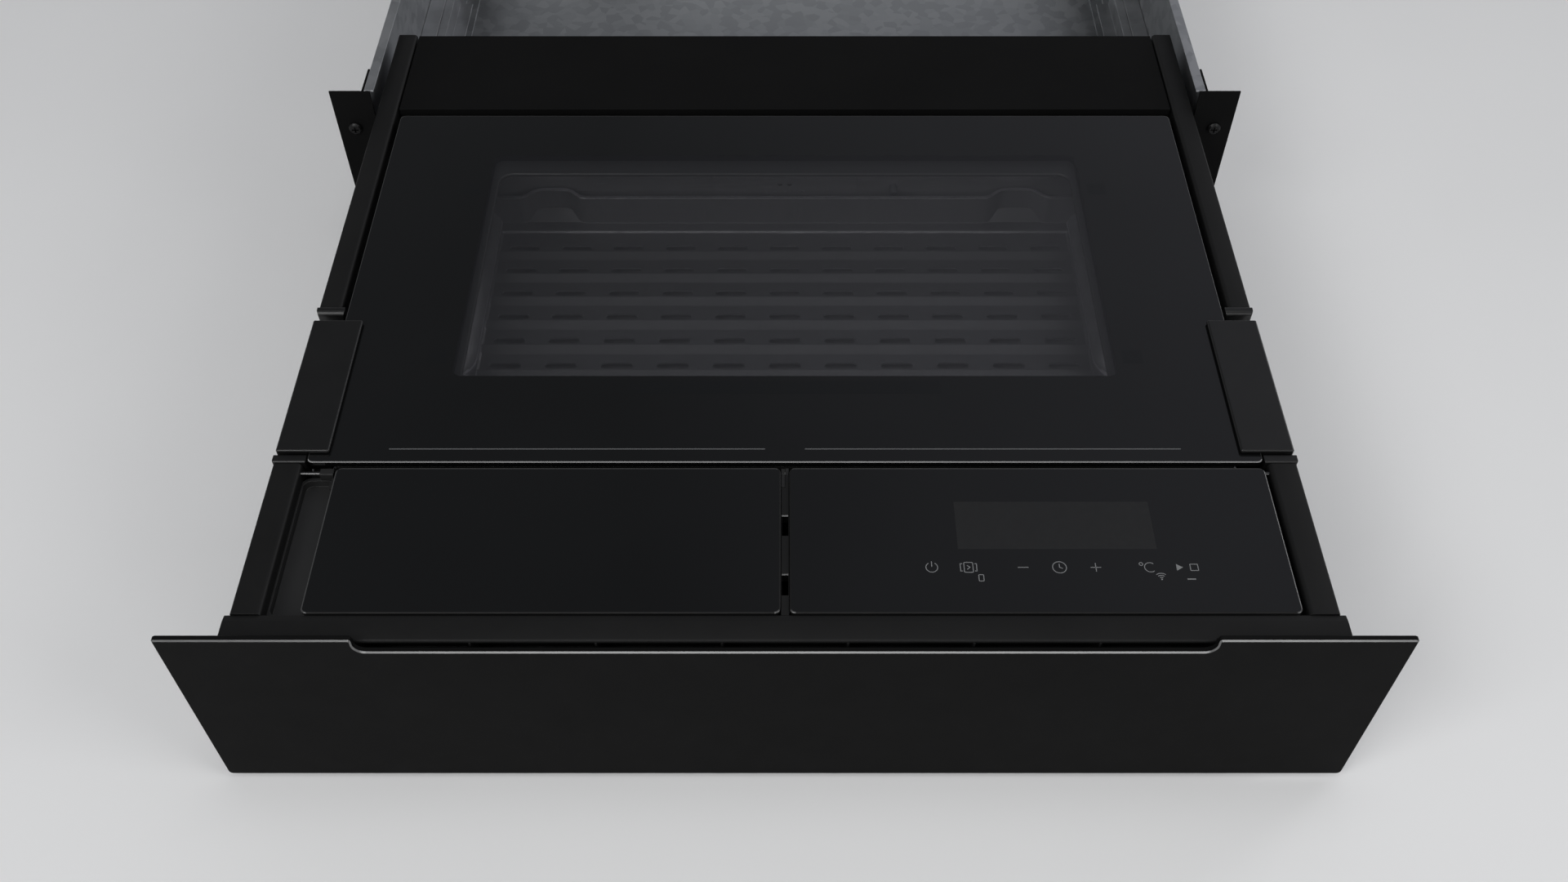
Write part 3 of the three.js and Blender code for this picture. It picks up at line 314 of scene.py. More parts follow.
def add_node(tree, kind, **sockets):
    """A shader node, its sockets set to values or linked to other nodes' outputs."""
    node = tree.nodes.new(kind)
    for socket, value in sockets.items():
        if isinstance(value, bpy.types.NodeSocket):
            tree.links.new(value, node.inputs[socket])
        else:
            node.inputs[socket].default_value = value
    return node


def ramp(tree, factor, *stops):
    """A colour ramp through its stops, each a position and a colour."""
    node = add_node(tree, "ShaderNodeValToRGB", Fac=factor)
    elements = node.color_ramp.elements
    for i, (position, color) in enumerate(stops):
        element = elements[i] if i < len(elements) else elements.new(position)
        element.position, element.color = position, (*color, 1)
    return node.outputs["Color"]


class Finish:
    """A procedural material: one shader fed by textures in the piece's own space."""

    def __init__(self, name, roughness, metallic=0.0, specular=0.5, alpha=1.0):
        material = bpy.data.materials.new(name)
        material.use_nodes = True
        if alpha < 1:
            material.surface_render_method = "BLENDED"
        self.tree = material.node_tree
        self.shader = self.tree.nodes["Principled BSDF"]
        self.shader.inputs["Roughness"].default_value = roughness
        self.shader.inputs["Metallic"].default_value = metallic
        self.shader.inputs["Specular IOR Level"].default_value = specular
        self.shader.inputs["Alpha"].default_value = alpha
        self.place = self.tree.nodes.new("ShaderNodeTexCoord").outputs["Object"]
        FINISHES[name] = material

    def noise(self, scale, detail, stretch=None):
        """A noise, its grain drawn out where stretch gives the scale on each axis."""
        place = self.place
        if stretch:
            mapping = add_node(self.tree, "ShaderNodeMapping", Vector=place, Scale=stretch)
            place = mapping.outputs["Vector"]
        sockets = {"Vector": place, "Scale": scale, "Detail": detail}
        return add_node(self.tree, "ShaderNodeTexNoise", **sockets).outputs["Fac"]

    def cells(self, scale):
        cells = add_node(self.tree, "ShaderNodeTexVoronoi", Vector=self.place, Scale=scale)
        return cells.outputs["Color"]

    def feed(self, socket, output):
        self.tree.links.new(output, self.shader.inputs[socket])
        return self

    def color(self, factor, *colors):
        """Base colour that runs through the given colours as the factor grows."""
        stops = [(0.3 + 0.4 * i / (len(colors) - 1), color) for i, color in enumerate(colors)]
        return self.feed("Base Color", ramp(self.tree, factor, *stops))

    def roughness(self, factor, low, high):
        sockets = {"Value": factor, "To Min": low, "To Max": high}
        spread = add_node(self.tree, "ShaderNodeMapRange", **sockets)
        return self.feed("Roughness", spread.outputs["Result"])

    def bump(self, factor, height, strength):
        """Relief of the given height in millimetres."""
        sockets = {"Height": factor, "Distance": height * MM, "Strength": strength}
        bump = add_node(self.tree, "ShaderNodeBump", **sockets)
        return self.feed("Normal", bump.outputs["Normal"])


def greys(*levels, blue=0.0):
    """Near-neutral linear colours."""
    return [(level, level * (1 + blue / 2), level * (1 + blue)) for level in levels]


def reflection_tinted(*levels):
    """Linear greys with a slight violet cast: a painted tint that stands for the bluish reflection in
    the lid's glass.
    """
    return [(level, level * 0.997, level * 1.05) for level in levels]


def mottled(name, roughness, colors, cloud, sheen, spread, relief=None, **sockets):
    """A finish that varies with noises, each given by its scale and detail.

    cloud moves the colour and sheen the roughness; relief adds a bump's height and strength.
    """
    finish = Finish(name, roughness, **sockets)
    finish.color(finish.noise(*cloud), *colors)
    finish.roughness(finish.noise(*sheen), *spread)
    if relief:
        scale, detail, height, strength = relief
        finish.bump(finish.noise(scale, detail), height, strength)


def brushed(name, roughness, colors, scale, stretch, spread, metallic):
    """Metal whose grain runs along an axis. stretch gives the noise's scale on each axis."""
    finish = Finish(name, roughness, metallic=metallic)
    grain = finish.noise(scale, 4, stretch)
    return finish.color(grain, *colors).roughness(grain, *spread)


def moulding(name, roughness, tones, spread, relief=None, specular=0.5):
    """A near-black moulded plastic."""
    colors = greys(*tones)
    mottled(name, roughness, colors, (30, 2), (180, 2), spread, relief, specular=specular)


def painted_highlight_finish(name, level):
    """A lighter, glossy finish for narrow rims: a painted highlight along them."""
    colors = greys(level * 0.9, level)
    mottled(name, 0.3, colors, (40, 2), (90, 2), (0.26, 0.36), specular=0.7)


def fired_print(name, level, blue=0.04, roughness=0.35):
    """Fired print on glass."""
    colors = greys(level * 0.92, level, blue=blue)
    spread = (roughness * 0.9, roughness * 1.2)
    mottled(name, roughness, colors, (500, 3), (300, 2), spread, specular=0.4)


def enamel():
    """The front's enamel, and the lighter finish on the bevel round it, a painted highlight."""
    colors, relief = greys(0.0034, 0.0042), (2600, 3, 0.015, 0.5)
    mottled("black_enamel", 0.6, colors, (14, 2), (60, 2), (0.55, 0.65), relief, specular=0.05)
    colors = greys(0.06, 0.075)
    mottled("bevel_painted_highlight", 0.24, colors, (40, 2), (120, 2), (0.2, 0.28), specular=1.0)


def mouldings():
    """The outer mouldings, the storage tub, the lugs and the heads between the plates."""
    grain, fine = (2200, 4, 0.03, 0.6), (2200, 4, 0.01, 0.4)
    moulding("black_moulding", 0.5, (0.0052, 0.0062), (0.42, 0.54), grain, specular=0.16)
    moulding("satin_moulding", 0.36, (0.0026, 0.0034), (0.32, 0.4), fine, specular=0.4)
    moulding("tub_moulding", 0.4, (0.01, 0.012), (0.36, 0.46))
    moulding("lug_moulding", 0.5, (0.011, 0.013), (0.45, 0.55), specular=0.2)
    moulding("head_moulding", 0.5, (0.0042, 0.0052), (0.45, 0.55), specular=0.2)


def grey_mouldings():
    """The lid's heat-proof frame, and the lighter plastic inside."""
    colors = greys(0.012, 0.015, blue=0.1)
    mottled("frame_moulding", 0.55, colors, (40, 2), (200, 2), (0.5, 0.62), specular=0.4)
    colors, relief = greys(0.032, 0.04), (1600, 4, 0.03, 0.6)
    mottled("grey_moulding", 0.6, colors, (40, 2), (200, 2), (0.55, 0.68), relief, specular=0.4)


def steels():
    """Pins, blackened screws and zinc-plated parts."""
    colors, sheen = greys(0.07, 0.1), (240, 4)
    mottled("pin_steel", 0.2, colors, (55, 4), sheen, (0.14, 0.24), metallic=1.0)
    colors = greys(0.012, 0.018)
    mottled("blackened_steel", 0.4, colors, (60, 4), sheen, (0.34, 0.46), metallic=0.8)
    colors, relief = greys(0.34, 0.46, blue=0.03), (900, 3, 0.01, 0.4)
    mottled("zinc_steel", 0.34, colors, (55, 4), sheen, (0.26, 0.44), relief, metallic=1.0)


def tray_steels():
    """The cavity's dull steel and the tray's brushed sheet, with copies of the sheet toned for how
    light falls: darker on the walls as painted shade, duller on the notch slopes as painted light,
    and lighter on the bend line, ridges, rim tops and slot walls as painted highlights.
    """
    brushed("cavity_sheet", 0.45, reflection_tinted(0.32, 0.4), 70, (1, 20, 20), (0.4, 0.5), 0.4)
    brushed("tray_sheet", 0.42, reflection_tinted(0.3, 0.36), 90, (1, 26, 26), (0.38, 0.47), 0.9)
    brushed("tray_wall_painted_shade", 0.52, reflection_tinted(0.15, 0.18), 60, (14, 14, 1), (0.48, 0.58), 0.55)
    cloud, sheen = (80, 3), (160, 3)
    mottled("sheet_painted_highlight", 0.48, reflection_tinted(0.34, 0.4), cloud, sheen, (0.44, 0.52), metallic=0.75)
    mottled("notch_painted_light", 0.6, reflection_tinted(0.14, 0.16), cloud, sheen, (0.55, 0.65), metallic=0.2)
    cloud, sheen = (120, 3), (200, 3)
    mottled("steel_painted_highlight", 0.3, reflection_tinted(0.66, 0.76), cloud, sheen, (0.34, 0.44), metallic=0.9)


def sheets():
    """Galvanised and brushed stainless sheet."""
    finish = Finish("galvanised_sheet", 0.4, metallic=1.0)
    finish.color(finish.cells(130), *greys(0.36, 0.4, blue=0.05), *greys(0.43, blue=0.04))
    finish.roughness(finish.cells(130), 0.38, 0.46).bump(finish.noise(700, 3), 0.02, 0.4)
    stretch, colors = (1, 26, 26), greys(0.33, 0.42, blue=0.08)
    finish = brushed("stainless_sheet", 0.36, colors, 90, stretch, (0.3, 0.44), 1.0)
    finish.bump(finish.noise(160, 3, stretch), 0.008, 0.5)


def glasses():
    """Black printed glass, the lid's grey-blue upper glass and its clearer lower pane."""
    cloud, colors = (9, 2), greys(0.0022, 0.003, blue=0.1)
    mottled("black_glass", 0.05, colors, cloud, (22, 5), (0.035, 0.085))
    colors = [(0.0132, 0.0132, 0.0156), (0.015, 0.015, 0.0176)]
    mottled("lid_glass", 0.04, colors, cloud, (22, 5), (0.03, 0.07), specular=1.0, alpha=0.42)
    colors = greys(0.016, 0.02, blue=0.1)
    mottled("inner_glass", 0.05, colors, cloud, (30, 4), (0.04, 0.08), specular=1.0, alpha=0.14)


def soft_and_electric():
    """The lid's rubber seal, the insulation and the circuit board."""
    colors, relief = greys(0.01, 0.014), (1200, 3, 0.03, 0.5)
    mottled("silicone", 0.7, colors, (60, 2), (300, 2), (0.62, 0.8), relief, specular=0.35)
    finish = Finish("mineral_wool", 0.95, specular=0.1)
    finish.color(finish.noise(700, 6), (0.34, 0.29, 0.19), (0.55, 0.49, 0.36))
    finish.bump(finish.noise(500, 8), 0.8, 0.9)
    finish = Finish("circuit_board", 0.42)
    finish.color(finish.cells(420), (0.012, 0.07, 0.03), (0.02, 0.11, 0.05))
    finish.bump(finish.cells(420), 0.03, 0.5)


enamel()
mouldings()
grey_mouldings()
steels()
tray_steels()
sheets()
glasses()
soft_and_electric()
# Rim finishes that paint highlights: bright on the lid's front edge, dim on other glass rims and
# corners, and one for the lid frame's lip and the divider's slot edges.
painted_highlight_finish("bright_painted_highlight", 0.22)
painted_highlight_finish("dim_painted_highlight", 0.03)
painted_highlight_finish("lip_painted_highlight", 0.028)
fired_print("mark_print", 0.16)
fired_print("mark_line_print", 0.1)
fired_print("mark_faint_print", 0.0038, 0.2, 0.1)
fired_print("display_print", 0.0065)
mottled("pale_floor", 0.7, greys(0.7, 0.72), (3, 4), (8, 2), (0.66, 0.74), specular=0.2)

# ---- pieces

SHARP_ANGLE = math.radians(35)


def added(name, data):
    """A new object in the scene."""
    obj = bpy.data.objects.new(name, data)
    bpy.context.scene.collection.objects.link(obj)
    return obj


def solid(name, bm, finishes):
    """An object made from a bmesh in millimetres."""
    mesh = bpy.data.meshes.new(name)
    bm.to_mesh(mesh)
    bm.free()
    mesh.transform(Matrix.Scale(MM, 4))
    for key in finishes:
        mesh.materials.append(FINISHES[key])
    return added(name, mesh)


def piece(name, bm, like, finish=None, bevel=0.0, segments=3, instead=False):
    """A piece that rides, and takes its slot, as the CAD node named like; instead replaces it."""
    bmesh.ops.recalc_face_normals(bm, faces=bm.faces)
    obj = solid(name, bm, finish if isinstance(finish, list) else [finish or SLOTS[like]])
    obj.data.shade_smooth()
    obj.data.set_sharp_from_angle(angle=SHARP_ANGLE)
    if bevel:
        round_edges = obj.modifiers.new("round_edges", "BEVEL")
        round_edges.width = bevel * MM
        round_edges.segments = segments
        round_edges.limit_method = "ANGLE"
        round_edges.angle_limit = SHARP_ANGLE
        round_edges.harden_normals = True
    else:
        obj.modifiers.new("flat_faces", "WEIGHTED_NORMAL").keep_sharp = True
    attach(obj, frame["nodes"][like]["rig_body"])
    if instead:
        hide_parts(like)


def pair(name, bm, like, **settings):
    """A piece on the right-hand side and its mirror image on the left."""
    for side, half in (("right", bm), ("left", mirrored(bm.copy()))):
        piece(f"{name}_{side}", half, f"{like}_{side}", instead=True, **settings)


EDGE_RADIUS = {
    "galvanised_sheet": 0.3,
    "zinc_steel": 0.25,
    "black_enamel": 0.3,
    "black_moulding": 0.4,
    "grey_moulding": 0.5,
    "silicone": 0.5,
    "mineral_wool": 1.0,
    "circuit_board": 0.1,
}
OWN_FINISH = {
    "lid_inner_pane": "inner_glass",
    "lid_frame": "frame_moulding",
    "cavity_tub": "cavity_sheet",
    "storage_tub": "tub_moulding",
    "flap_pin_left": "pin_steel",
    "flap_pin_centre": "pin_steel",
    "divider_frame": "lug_moulding",
    # The rear cover takes the darker enamel as painted shade, for the shadow that falls on it.
    "rear_cover": "black_enamel",
}


def soften(node):
    """A copy of a CAD node's body with its edges rounded."""
    bm = bmesh.new()
    bm.from_mesh(frame["nodes"][node].data)
    bmesh.ops.scale(bm, vec=(1 / MM,) * 3, verts=bm.verts)
    bmesh.ops.remove_doubles(bm, verts=bm.verts, dist=0.005)
    bmesh.ops.dissolve_limit(bm, angle_limit=math.radians(0.5), verts=bm.verts, edges=bm.edges)
    bevel = EDGE_RADIUS.get(SLOTS[node], 0.2)
    piece(f"{node}_shell", bm, node, OWN_FINISH.get(node), bevel, 2, instead=True)


# ---- front


def front_panel():
    """The enamelled front with its wide cut-out; its front edges have a fine bevel with a lighter
    finish, a painted highlight.
    """
    half, cut_depth, bevel = panel.x1, 10, 0.7
    foot, rim, pocket = 3, 1.2, 5.5
    floor = panel.z1 - cut_depth
    corners = [
        (-half, panel.z0), (half, panel.z0), (half, panel.z1), (CUT_HALF, panel.z1),
        (CUT_HALF, floor), (-CUT_HALF, floor), (-CUT_HALF, panel.z1), (-half, panel.z1),
    ]
    bends = [foot, foot, rim, rim, pocket, pocket, rim, rim]
    profile = [(-bevel, panel.y0), (0, panel.y0 + bevel), (0, panel.y1 - bevel), (-bevel, panel.y1)]
    rings = levels(corners, bends, profile, "y", 8)
    bm = loft(rings)
    # The front bevel all round takes the lighter finish: painted highlight.
    for face in bm.faces[: len(rings[0])]:
        face.material_index = 1
    finishes = ["black_enamel", "bevel_painted_highlight"]
    piece("front_panel_enamelled", bm, "front_panel", finishes, instead=True)


def front_bar():
    """The moulded bar behind the panel: lip, ribbed finger pocket and bevelled rear edge."""
    wall, foot_lift, lip_setback, pocket, pocket_depth = 2.2, 8, 0.8, 17, 10
    bevel_run, bevel_fall = 4, 0.8
    lip = bar.y0 + lip_setback
    under = deck - wall
    floor = under - pocket
    back = bar.y0 + pocket_depth
    foot = panel.z0 + foot_lift
    corners = [
        (bar.y0, foot), (bar.y1, foot), (bar.y1, foot + wall), (bar.y0 + wall, foot + wall),
        (bar.y0 + wall, floor - wall), (back + wall, floor - wall), (back + wall, under - wall),
        (bar.y1, under - wall), (bar.y1, deck - bevel_fall), (bar.y1 - bevel_run, deck),
        (lip, deck), (lip, under), (back, under), (back, floor), (bar.y0, floor),
    ]
    radii = [0.3, 0.3, 0.3, 0.6, 0.6, 0.6, 0.6, 0.3, 0.5, 0.5, 1, 0.3, 0.5, 0.5, 0.5]
    bm = prism(fillet(corners, radii, 4), "x", bar.x0, bar.x1)
    piece("front_bar_moulding", bm, "front_bar", bevel=0.9, instead=True)

    ribs = bmesh.new()
    rib_half, pitch, count = 0.6, 60, 6
    section = [(lip, floor), (back, floor), (back, under), (lip, under)]
    for i in range(count):
        x = (i - (count - 1) / 2) * pitch
        prism(fillet(section, 0.3, 3), "x", x - rib_half, x + rib_half, ribs)
    # A block fills the pocket beyond each end of the cut-out, with a step in front of it.
    step_top, step_width, block_start, block_end = deck + 3.4, 1.6, CUT_HALF + 0.5, bar.x1 - 1
    step = [(bar.y0, floor), (lip, floor), (lip, step_top), (bar.y0, step_top)]
    for sign in SIDES.values():
        prism(section, "x", sign * block_start, sign * block_end, ribs)
        prism(step, "x", sign * CUT_HALF, sign * (CUT_HALF + step_width), ribs)
    piece("front_bar_ribs", ribs, "front_bar", "head_moulding", 0.25, 2)


# ---- side rails, caps and grips


def rail(node, inner, outer):
    """A rail's profile between two widths: flat top, rounded edges, hollow underneath."""
    box = span(f"{node}_right")
    foot = cavity.z1 - 1.2
    wall, edge, inner_edge = 1.2, 1.0, 2.4
    corners = [
        (outer, box.z0), (outer, box.z1), (inner, box.z1), (inner, foot), (inner + wall, foot),
        (inner + wall, box.z1 - wall), (outer - wall, box.z1 - wall), (outer - wall, box.z0),
    ]
    radii = [0.3, edge, inner_edge, 0.3, 0.3, inner_edge - wall, 0.2, 0.3]
    bm = prism(fillet(corners, radii, 6), "y", box.y0, box.y1)
    pair(f"{node}_moulding", bm, node, bevel=0.3, segments=2)


def cap(node, inner, outer, nose):
    """The moulded cap on a rail's end, rounded over towards the front by its nose radius."""
    box = span(f"{node}_right")
    tail, lean, plan = 0.7, 3.3, 0.4
    run = arc(box.y0 + nose, nose, nose, 180, 270, 6)
    run += arc(box.y1 - tail, tail, tail, 270, 360, 3)
    rings = []
    for y, fall in run:
        x0, x1, top = inner + fall * plan, outer - fall * plan, box.z1 - fall
        section = [(x0, box.z0), (x1 - lean, box.z0), (x1, box.z0 + lean), (x1, top), (x0, top)]
        rings.append([(x, y, z) for x, z in section])
    pair(f"{node}_moulding", loft(rings), node, finish="satin_moulding", bevel=0.9, segments=4)


def grips():
    """Each grip clasps the edge of the lid's glass."""
    box = span("lid_grip_right")
    frame_side = span("lid_frame").x1 + 0.2
    upper_lip, clear, play = 11.2, 0.4, 0.2
    inner, slot = lid.x1 - upper_lip, lid.x1 + clear
    corners = [
        (inner, deck + play), (inner, box.z1), (box.x1, box.z1), (box.x1, box.z0),
        (frame_side, box.z0), (frame_side, lid.z0 - play), (slot, lid.z0 - play),
        (slot, deck + play),
    ]
    bm = prism(corners, "y", box.y0, box.y1)
    pair("lid_grip_moulding", bm, "lid_grip", finish="satin_moulding", bevel=1.1, segments=5)


# ---- glass

GLASS_CORNER = 3.0
GLASS_BEVEL = 0.5


def glass_plate(name, node, side):
    """A plate of black glass. Its rear rim, the rim on its outer side and its front corners take a
    lighter finish as a painted highlight; its front rim takes the black moulding as painted shade.
    """
    box = span(node)
    corners = rect(box.x0, box.x1, box.y0, box.y1)
    crown = [(0, 0.4), (-0.25, 0.12), (-0.75, 0)]  # margins and depths of the rounded upper edge
    profile = [(-GLASS_BEVEL, box.z0), (0, box.z0 + GLASS_BEVEL)]
    profile += [(margin, box.z1 - depth) for margin, depth in crown]

    def choose(face, middle):
        if len(face.verts) > 4:
            return 0
        outer = middle.x * side > max(-box.x0, box.x1) - 1
        bend = min(middle.x - box.x0, box.x1 - middle.x) < GLASS_CORNER
        corner = bend and middle.y < box.y0 + 2 and middle.z > box.z1 - 0.5
        # The lighter rims and corners are painted highlight; the dull black front rim is painted
        # shade.
        return 1 if outer or corner or middle.y > box.y1 - 1 else 2

    bm = paint(loft(levels(corners, GLASS_CORNER, profile, steps=8)), choose)
    piece(name, bm, node, ["black_glass", "dim_painted_highlight", "black_moulding"], instead=True)


def lid_pane():
    """The lid's upper glass: printed black all round, clear in its window."""
    half, front, rear = 183.2, lid.y0 + 61.5, lid.y1 - 41.2
    window = rect(-half, half, front, rear, 5, 8)
    profile = [(GLASS_BEVEL, lid.z0), (0, lid.z0 + GLASS_BEVEL), (0, lid.z1 - GLASS_BEVEL)]
    profile += [(GLASS_BEVEL * 0.3, lid.z1 - GLASS_BEVEL * 0.3), (GLASS_BEVEL, lid.z1)]
    rings = []
    for inset, z in profile:
        radius = GLASS_CORNER - inset / 2
        outline = rect(lid.x0 + inset, lid.x1 - inset, lid.y0 + inset, lid.y1 - inset, radius, 8)
        rings.append([(x, y, z) for x, y in outline])
    edge = loft(rings, caps=False)

    # The top chamfer takes lighter finishes as painted highlight: the brighter one along the front
    # edge and the dimmer one elsewhere. The sides stay black glass.
    def choose(_, middle):
        if middle.z <= lid.z1 - GLASS_BEVEL:
            return 0
        return 3 if middle.y < lid.y0 + 2 else 4

    parts = [paint(edge, choose)]
    for outline, z, clear in ((rings[0], lid.z0, 2), (rings[-1], lid.z1, 1)):
        pane = bmesh.new()
        flat([(x, y, z) for x, y in window], pane).material_index = clear
        parts += [sheet([point[:2] for point in outline], [window], "z", z), pane]
    bm = merge(*parts)
    bmesh.ops.remove_doubles(bm, verts=bm.verts, dist=0.001)
    finishes = ["black_glass", "lid_glass", "inner_glass", "bright_painted_highlight", "dim_painted_highlight"]
    piece("lid_pane", bm, "lid_glass", finishes, instead=True)


def window_lip():
    """The lip of the lid's frame round the window, just under the upper glass."""
    half, front, rear = 179.0, lid.y0 + 30.0, lid.y1 - 53.8
    thick, width, corner, clear = 2.0, 17, 8, 0.35
    top = lid.z0 - clear
    corners = [(-half, front), (half, front), (half, rear), (-half, rear)]
    profile = [(width, top - thick), (width, top), (0.7, top), (0, top - 0.6), (0, top - thick)]
    rings = levels(corners, corner, profile, steps=8)
    bm = loft(rings + rings[:1], caps=False)
    bmesh.ops.remove_doubles(bm, verts=bm.verts, dist=0.001)
    # The rear stretch of the lip's inner edge takes a lighter finish: painted highlight.
    paint(bm, lambda _, middle: top - 0.5 < middle.z < top - 0.05 and middle.y > rear - 3)
    piece("lid_window_lip", bm, "lid_frame", ["frame_moulding", "lip_painted_highlight"])


# ---- print on the glass

PROUD = 0.03  # how far print stands above the glass


def marks(name, shapes, like, finish):
    """Print on top of the glass: each shape is a closed outline."""
    bm = bmesh.new()
    for outline in shapes:
        prism(outline, "z", deck - PROUD, deck + PROUD, bm)
    piece(name, bm, like, finish)


def lid_marks():
    """The fine line along the lid's front edge, and faint sensor pads round the window."""
    line_y, line_half = lid.y0 + 9, 0.3
    inner, outer = 10.5, 208.3
    lines = [
        rect(start, end, line_y - line_half, line_y + line_half)
        for start, end in ((-outer, -inner), (inner, outer))
    ]
    marks("lid_lines", lines, "lid_glass", "mark_line_print")
    pad_x, pad_half, pad_depth = 193, 5.5, 5
    pads = [
        rect(x - pad_half, x + pad_half, y - pad_depth, y + pad_depth)
        for x in (-pad_x, pad_x)
        for y in (lid.y0 + 76.1, lid.y0 + 219.9)
    ]
    bar_half, bar_front, bar_rear = 85, lid.y0 + 48.5, lid.y0 + 58
    pads.append(rect(-bar_half, bar_half, bar_front, bar_rear))
    marks("lid_sensor_pads", pads, "lid_glass", "mark_faint_print")


def control_marks():
    """Generic touch symbols on the control plate, and its display field."""
    row = plate.y0 + 26.9
    line = 0.42
    shapes = []

    def draw(points, closed=False):
        shapes.extend(stroke(points, line, closed))

    def circle(x, y, radius, start=0, end=360):
        closed = end - start == 360
        points = arc(x, y, radius, start, end, 24)
        draw(points[:-1] if closed else points, closed)

    power = 72.3
    circle(power, row, 2.9, 122, 418)
    draw([(power, row + 0.4), (power, row + 3.6)])
    program = 90.4
    draw(rect(program - 2.2, program + 2.2, row - 3, row + 3, 0.6, 3), True)
    draw([(program - 0.7, row + 1.2), (program + 0.7, row), (program - 0.7, row - 1.2)])
    for side in SIDES.values():
        x = program + side * 4
        draw([(x - side, row + 2.2), (x, row + 2.2), (x, row - 2.2), (x - side, row - 2.2)])
    draw(rect(program + 4.6, program + 7, row - 8.2, row - 4.4, 0.5, 3), True)
    minus = 117.3
    draw([(minus - 2.6, row), (minus + 2.6, row)])
    clock = 135.2
    circle(clock, row, 3.4)
    draw([(clock, row + 2.1), (clock, row), (clock + 1.5, row - 0.7)])
    plus = 153.1
    draw([(plus - 2.6, row), (plus + 2.6, row)])
    draw([(plus, row - 2.6), (plus, row + 2.6)])
    degree = 175.6
    circle(degree, row + 2, 0.9)
    circle(degree + 4.3, row, 2.8, 50, 310)
    wave_x, wave_y = 184.5, row - 7.2
    for radius in (1.2, 2.4, 3.6):
        circle(wave_x, wave_y, radius, 50, 130)
    shapes.append(arc(wave_x, wave_y, 0.45, 0, 324, 9))
    start = 194.4
    shapes.append([(start - 1.6, row - 2), (start + 1.6, row), (start - 1.6, row + 2)])
    stop = 201.5
    draw(rect(stop - 1.9, stop + 1.9, row - 1.9, row + 1.9, 0.2, 2), True)
    shapes.append(rect(start + 2.6, start + 6.8, row - 7.4, row - 6.7))
    marks("control_symbols", shapes, "control_glass", "mark_print")
    display = span("display_module")
    field = rect(display.x0, display.x1, display.y0, display.y1)
    marks("display_field", [field], "control_glass", "display_print")


# ---- tray and cavity

# The tray's sheet, and copies of it toned for how light falls: painted shade and painted highlights.
TRAY_FINISHES = ["tray_sheet", "tray_wall_painted_shade", "steel_painted_highlight", "sheet_painted_highlight", "notch_painted_light"]
TRAY_SHEET = 1.2
TRAY_RIM = 4.0
TRAY_WALL = tray.x1 - TRAY_RIM  # half the width inside the wall
NOTCH_X = 153.3
NOTCH_DEPTH = 8.3
TRAY_REAR = tray.y1 - TRAY_RIM - NOTCH_DEPTH
RIB_HEIGHT = 1.4
SLOT_BAND = tray.z1 - 21.8  # height of the slotted bands
TRAY_LEDGE = SLOT_BAND + RIB_HEIGHT  # height of the floor's border
SLOPE_FOOT = TRAY_REAR + 1.0  # where the slopes in the notches start
SLOPE_TOP = TRAY_LEDGE + 6.8
SLOT_ROWS, SLOT_COLUMNS = 10, 11
ROW_PITCH, COLUMN_PITCH = 21.3, 34.2
SLOT_HALF, BAND_HALF = 2.2, 2.45
FIRST_ROW = tray.y0 + 13.2
FIELD_HALF = 187.6
FIELD_FRONT = tray.y0 + 5.2
FIELD_REAR = TRAY_REAR - 7.2
FIELD_END = FIELD_HALF - 1.2  # where the ribs end in short slopes


def tray_outline():
    """The tray's inner wall in plan, with two notches in its rear wall."""
    half, front, rear = TRAY_WALL, tray.y0 + TRAY_RIM, TRAY_REAR
    mouth, head, deep = 18.2, 9.2, rear + NOTCH_DEPTH
    corners = [(-half, front), (half, front), (half, rear)]
    bends = [10, 10, 10]
    for x in (NOTCH_X, -NOTCH_X):
        corners += [(x + mouth, rear), (x + head, deep), (x - head, deep), (x - mouth, rear)]
        bends += [11, 9, 9, 11]
    corners.append((-half, rear))
    return corners, bends + [10]


def tray_rings():
    """Rings of the notched wall, from its foot up to the rolled rim."""
    foot, bend, draft, rim_drop, slope = 0.7, 0.9, 1.0, 2.6, 1.36
    corners, bends = tray_outline()
    profile = arc(-foot, TRAY_LEDGE + foot, foot, -90, 0, 6)
    profile += arc(draft + bend, tray.z1 - bend, bend, 180, 90, 4)
    profile += arc(TRAY_RIM - bend, tray.z1 - bend, bend, 90, 0, 4)
    profile.append((TRAY_RIM, tray.z1 - rim_drop))
    rings = levels(corners, bends, profile, steps=7)
    for points in rings:
        for i, (x, y, z) in enumerate(points):
            if y > SLOPE_FOOT and z < SLOPE_TOP:
                rise = min(SLOPE_TOP, TRAY_LEDGE + slope * (y - SLOPE_FOOT))
                points[i] = (x, y, max(z, rise))
    return rings


def tray_border(foot):
    """The floor between the ribbed field and the foot of the walls, and a slope in each notch."""
    border, run, slopes, floor = [], [], bmesh.new(), bmesh.new()
    for x, y, z in foot:
        if z > TRAY_LEDGE + 0.01:
            run.append((x, y, z))
            continue
        if run:
            flat([(*border[-1], TRAY_LEDGE), *run, (x, y, TRAY_LEDGE)], slopes)
            run = []
        border.append((x, y))
    front_left, front_right = (-FIELD_HALF, FIELD_FRONT), (FIELD_HALF, FIELD_FRONT)
    rear_left, rear_right = (-FIELD_HALF, FIELD_REAR), (FIELD_HALF, FIELD_REAR)
    a, b = (
        min(range(len(border)), key=lambda i: math.dist(border[i], end))
        for end in (front_left, rear_right)
    )
    ahead = border[a : b + 1] + [rear_right, front_right, front_left]
    behind = border[b:] + border[: a + 1] + [front_left, rear_left, rear_right]
    for outline in (ahead, behind):
        flat([(x, y, TRAY_LEDGE) for x, y in outline], floor)
    return [floor, slopes]


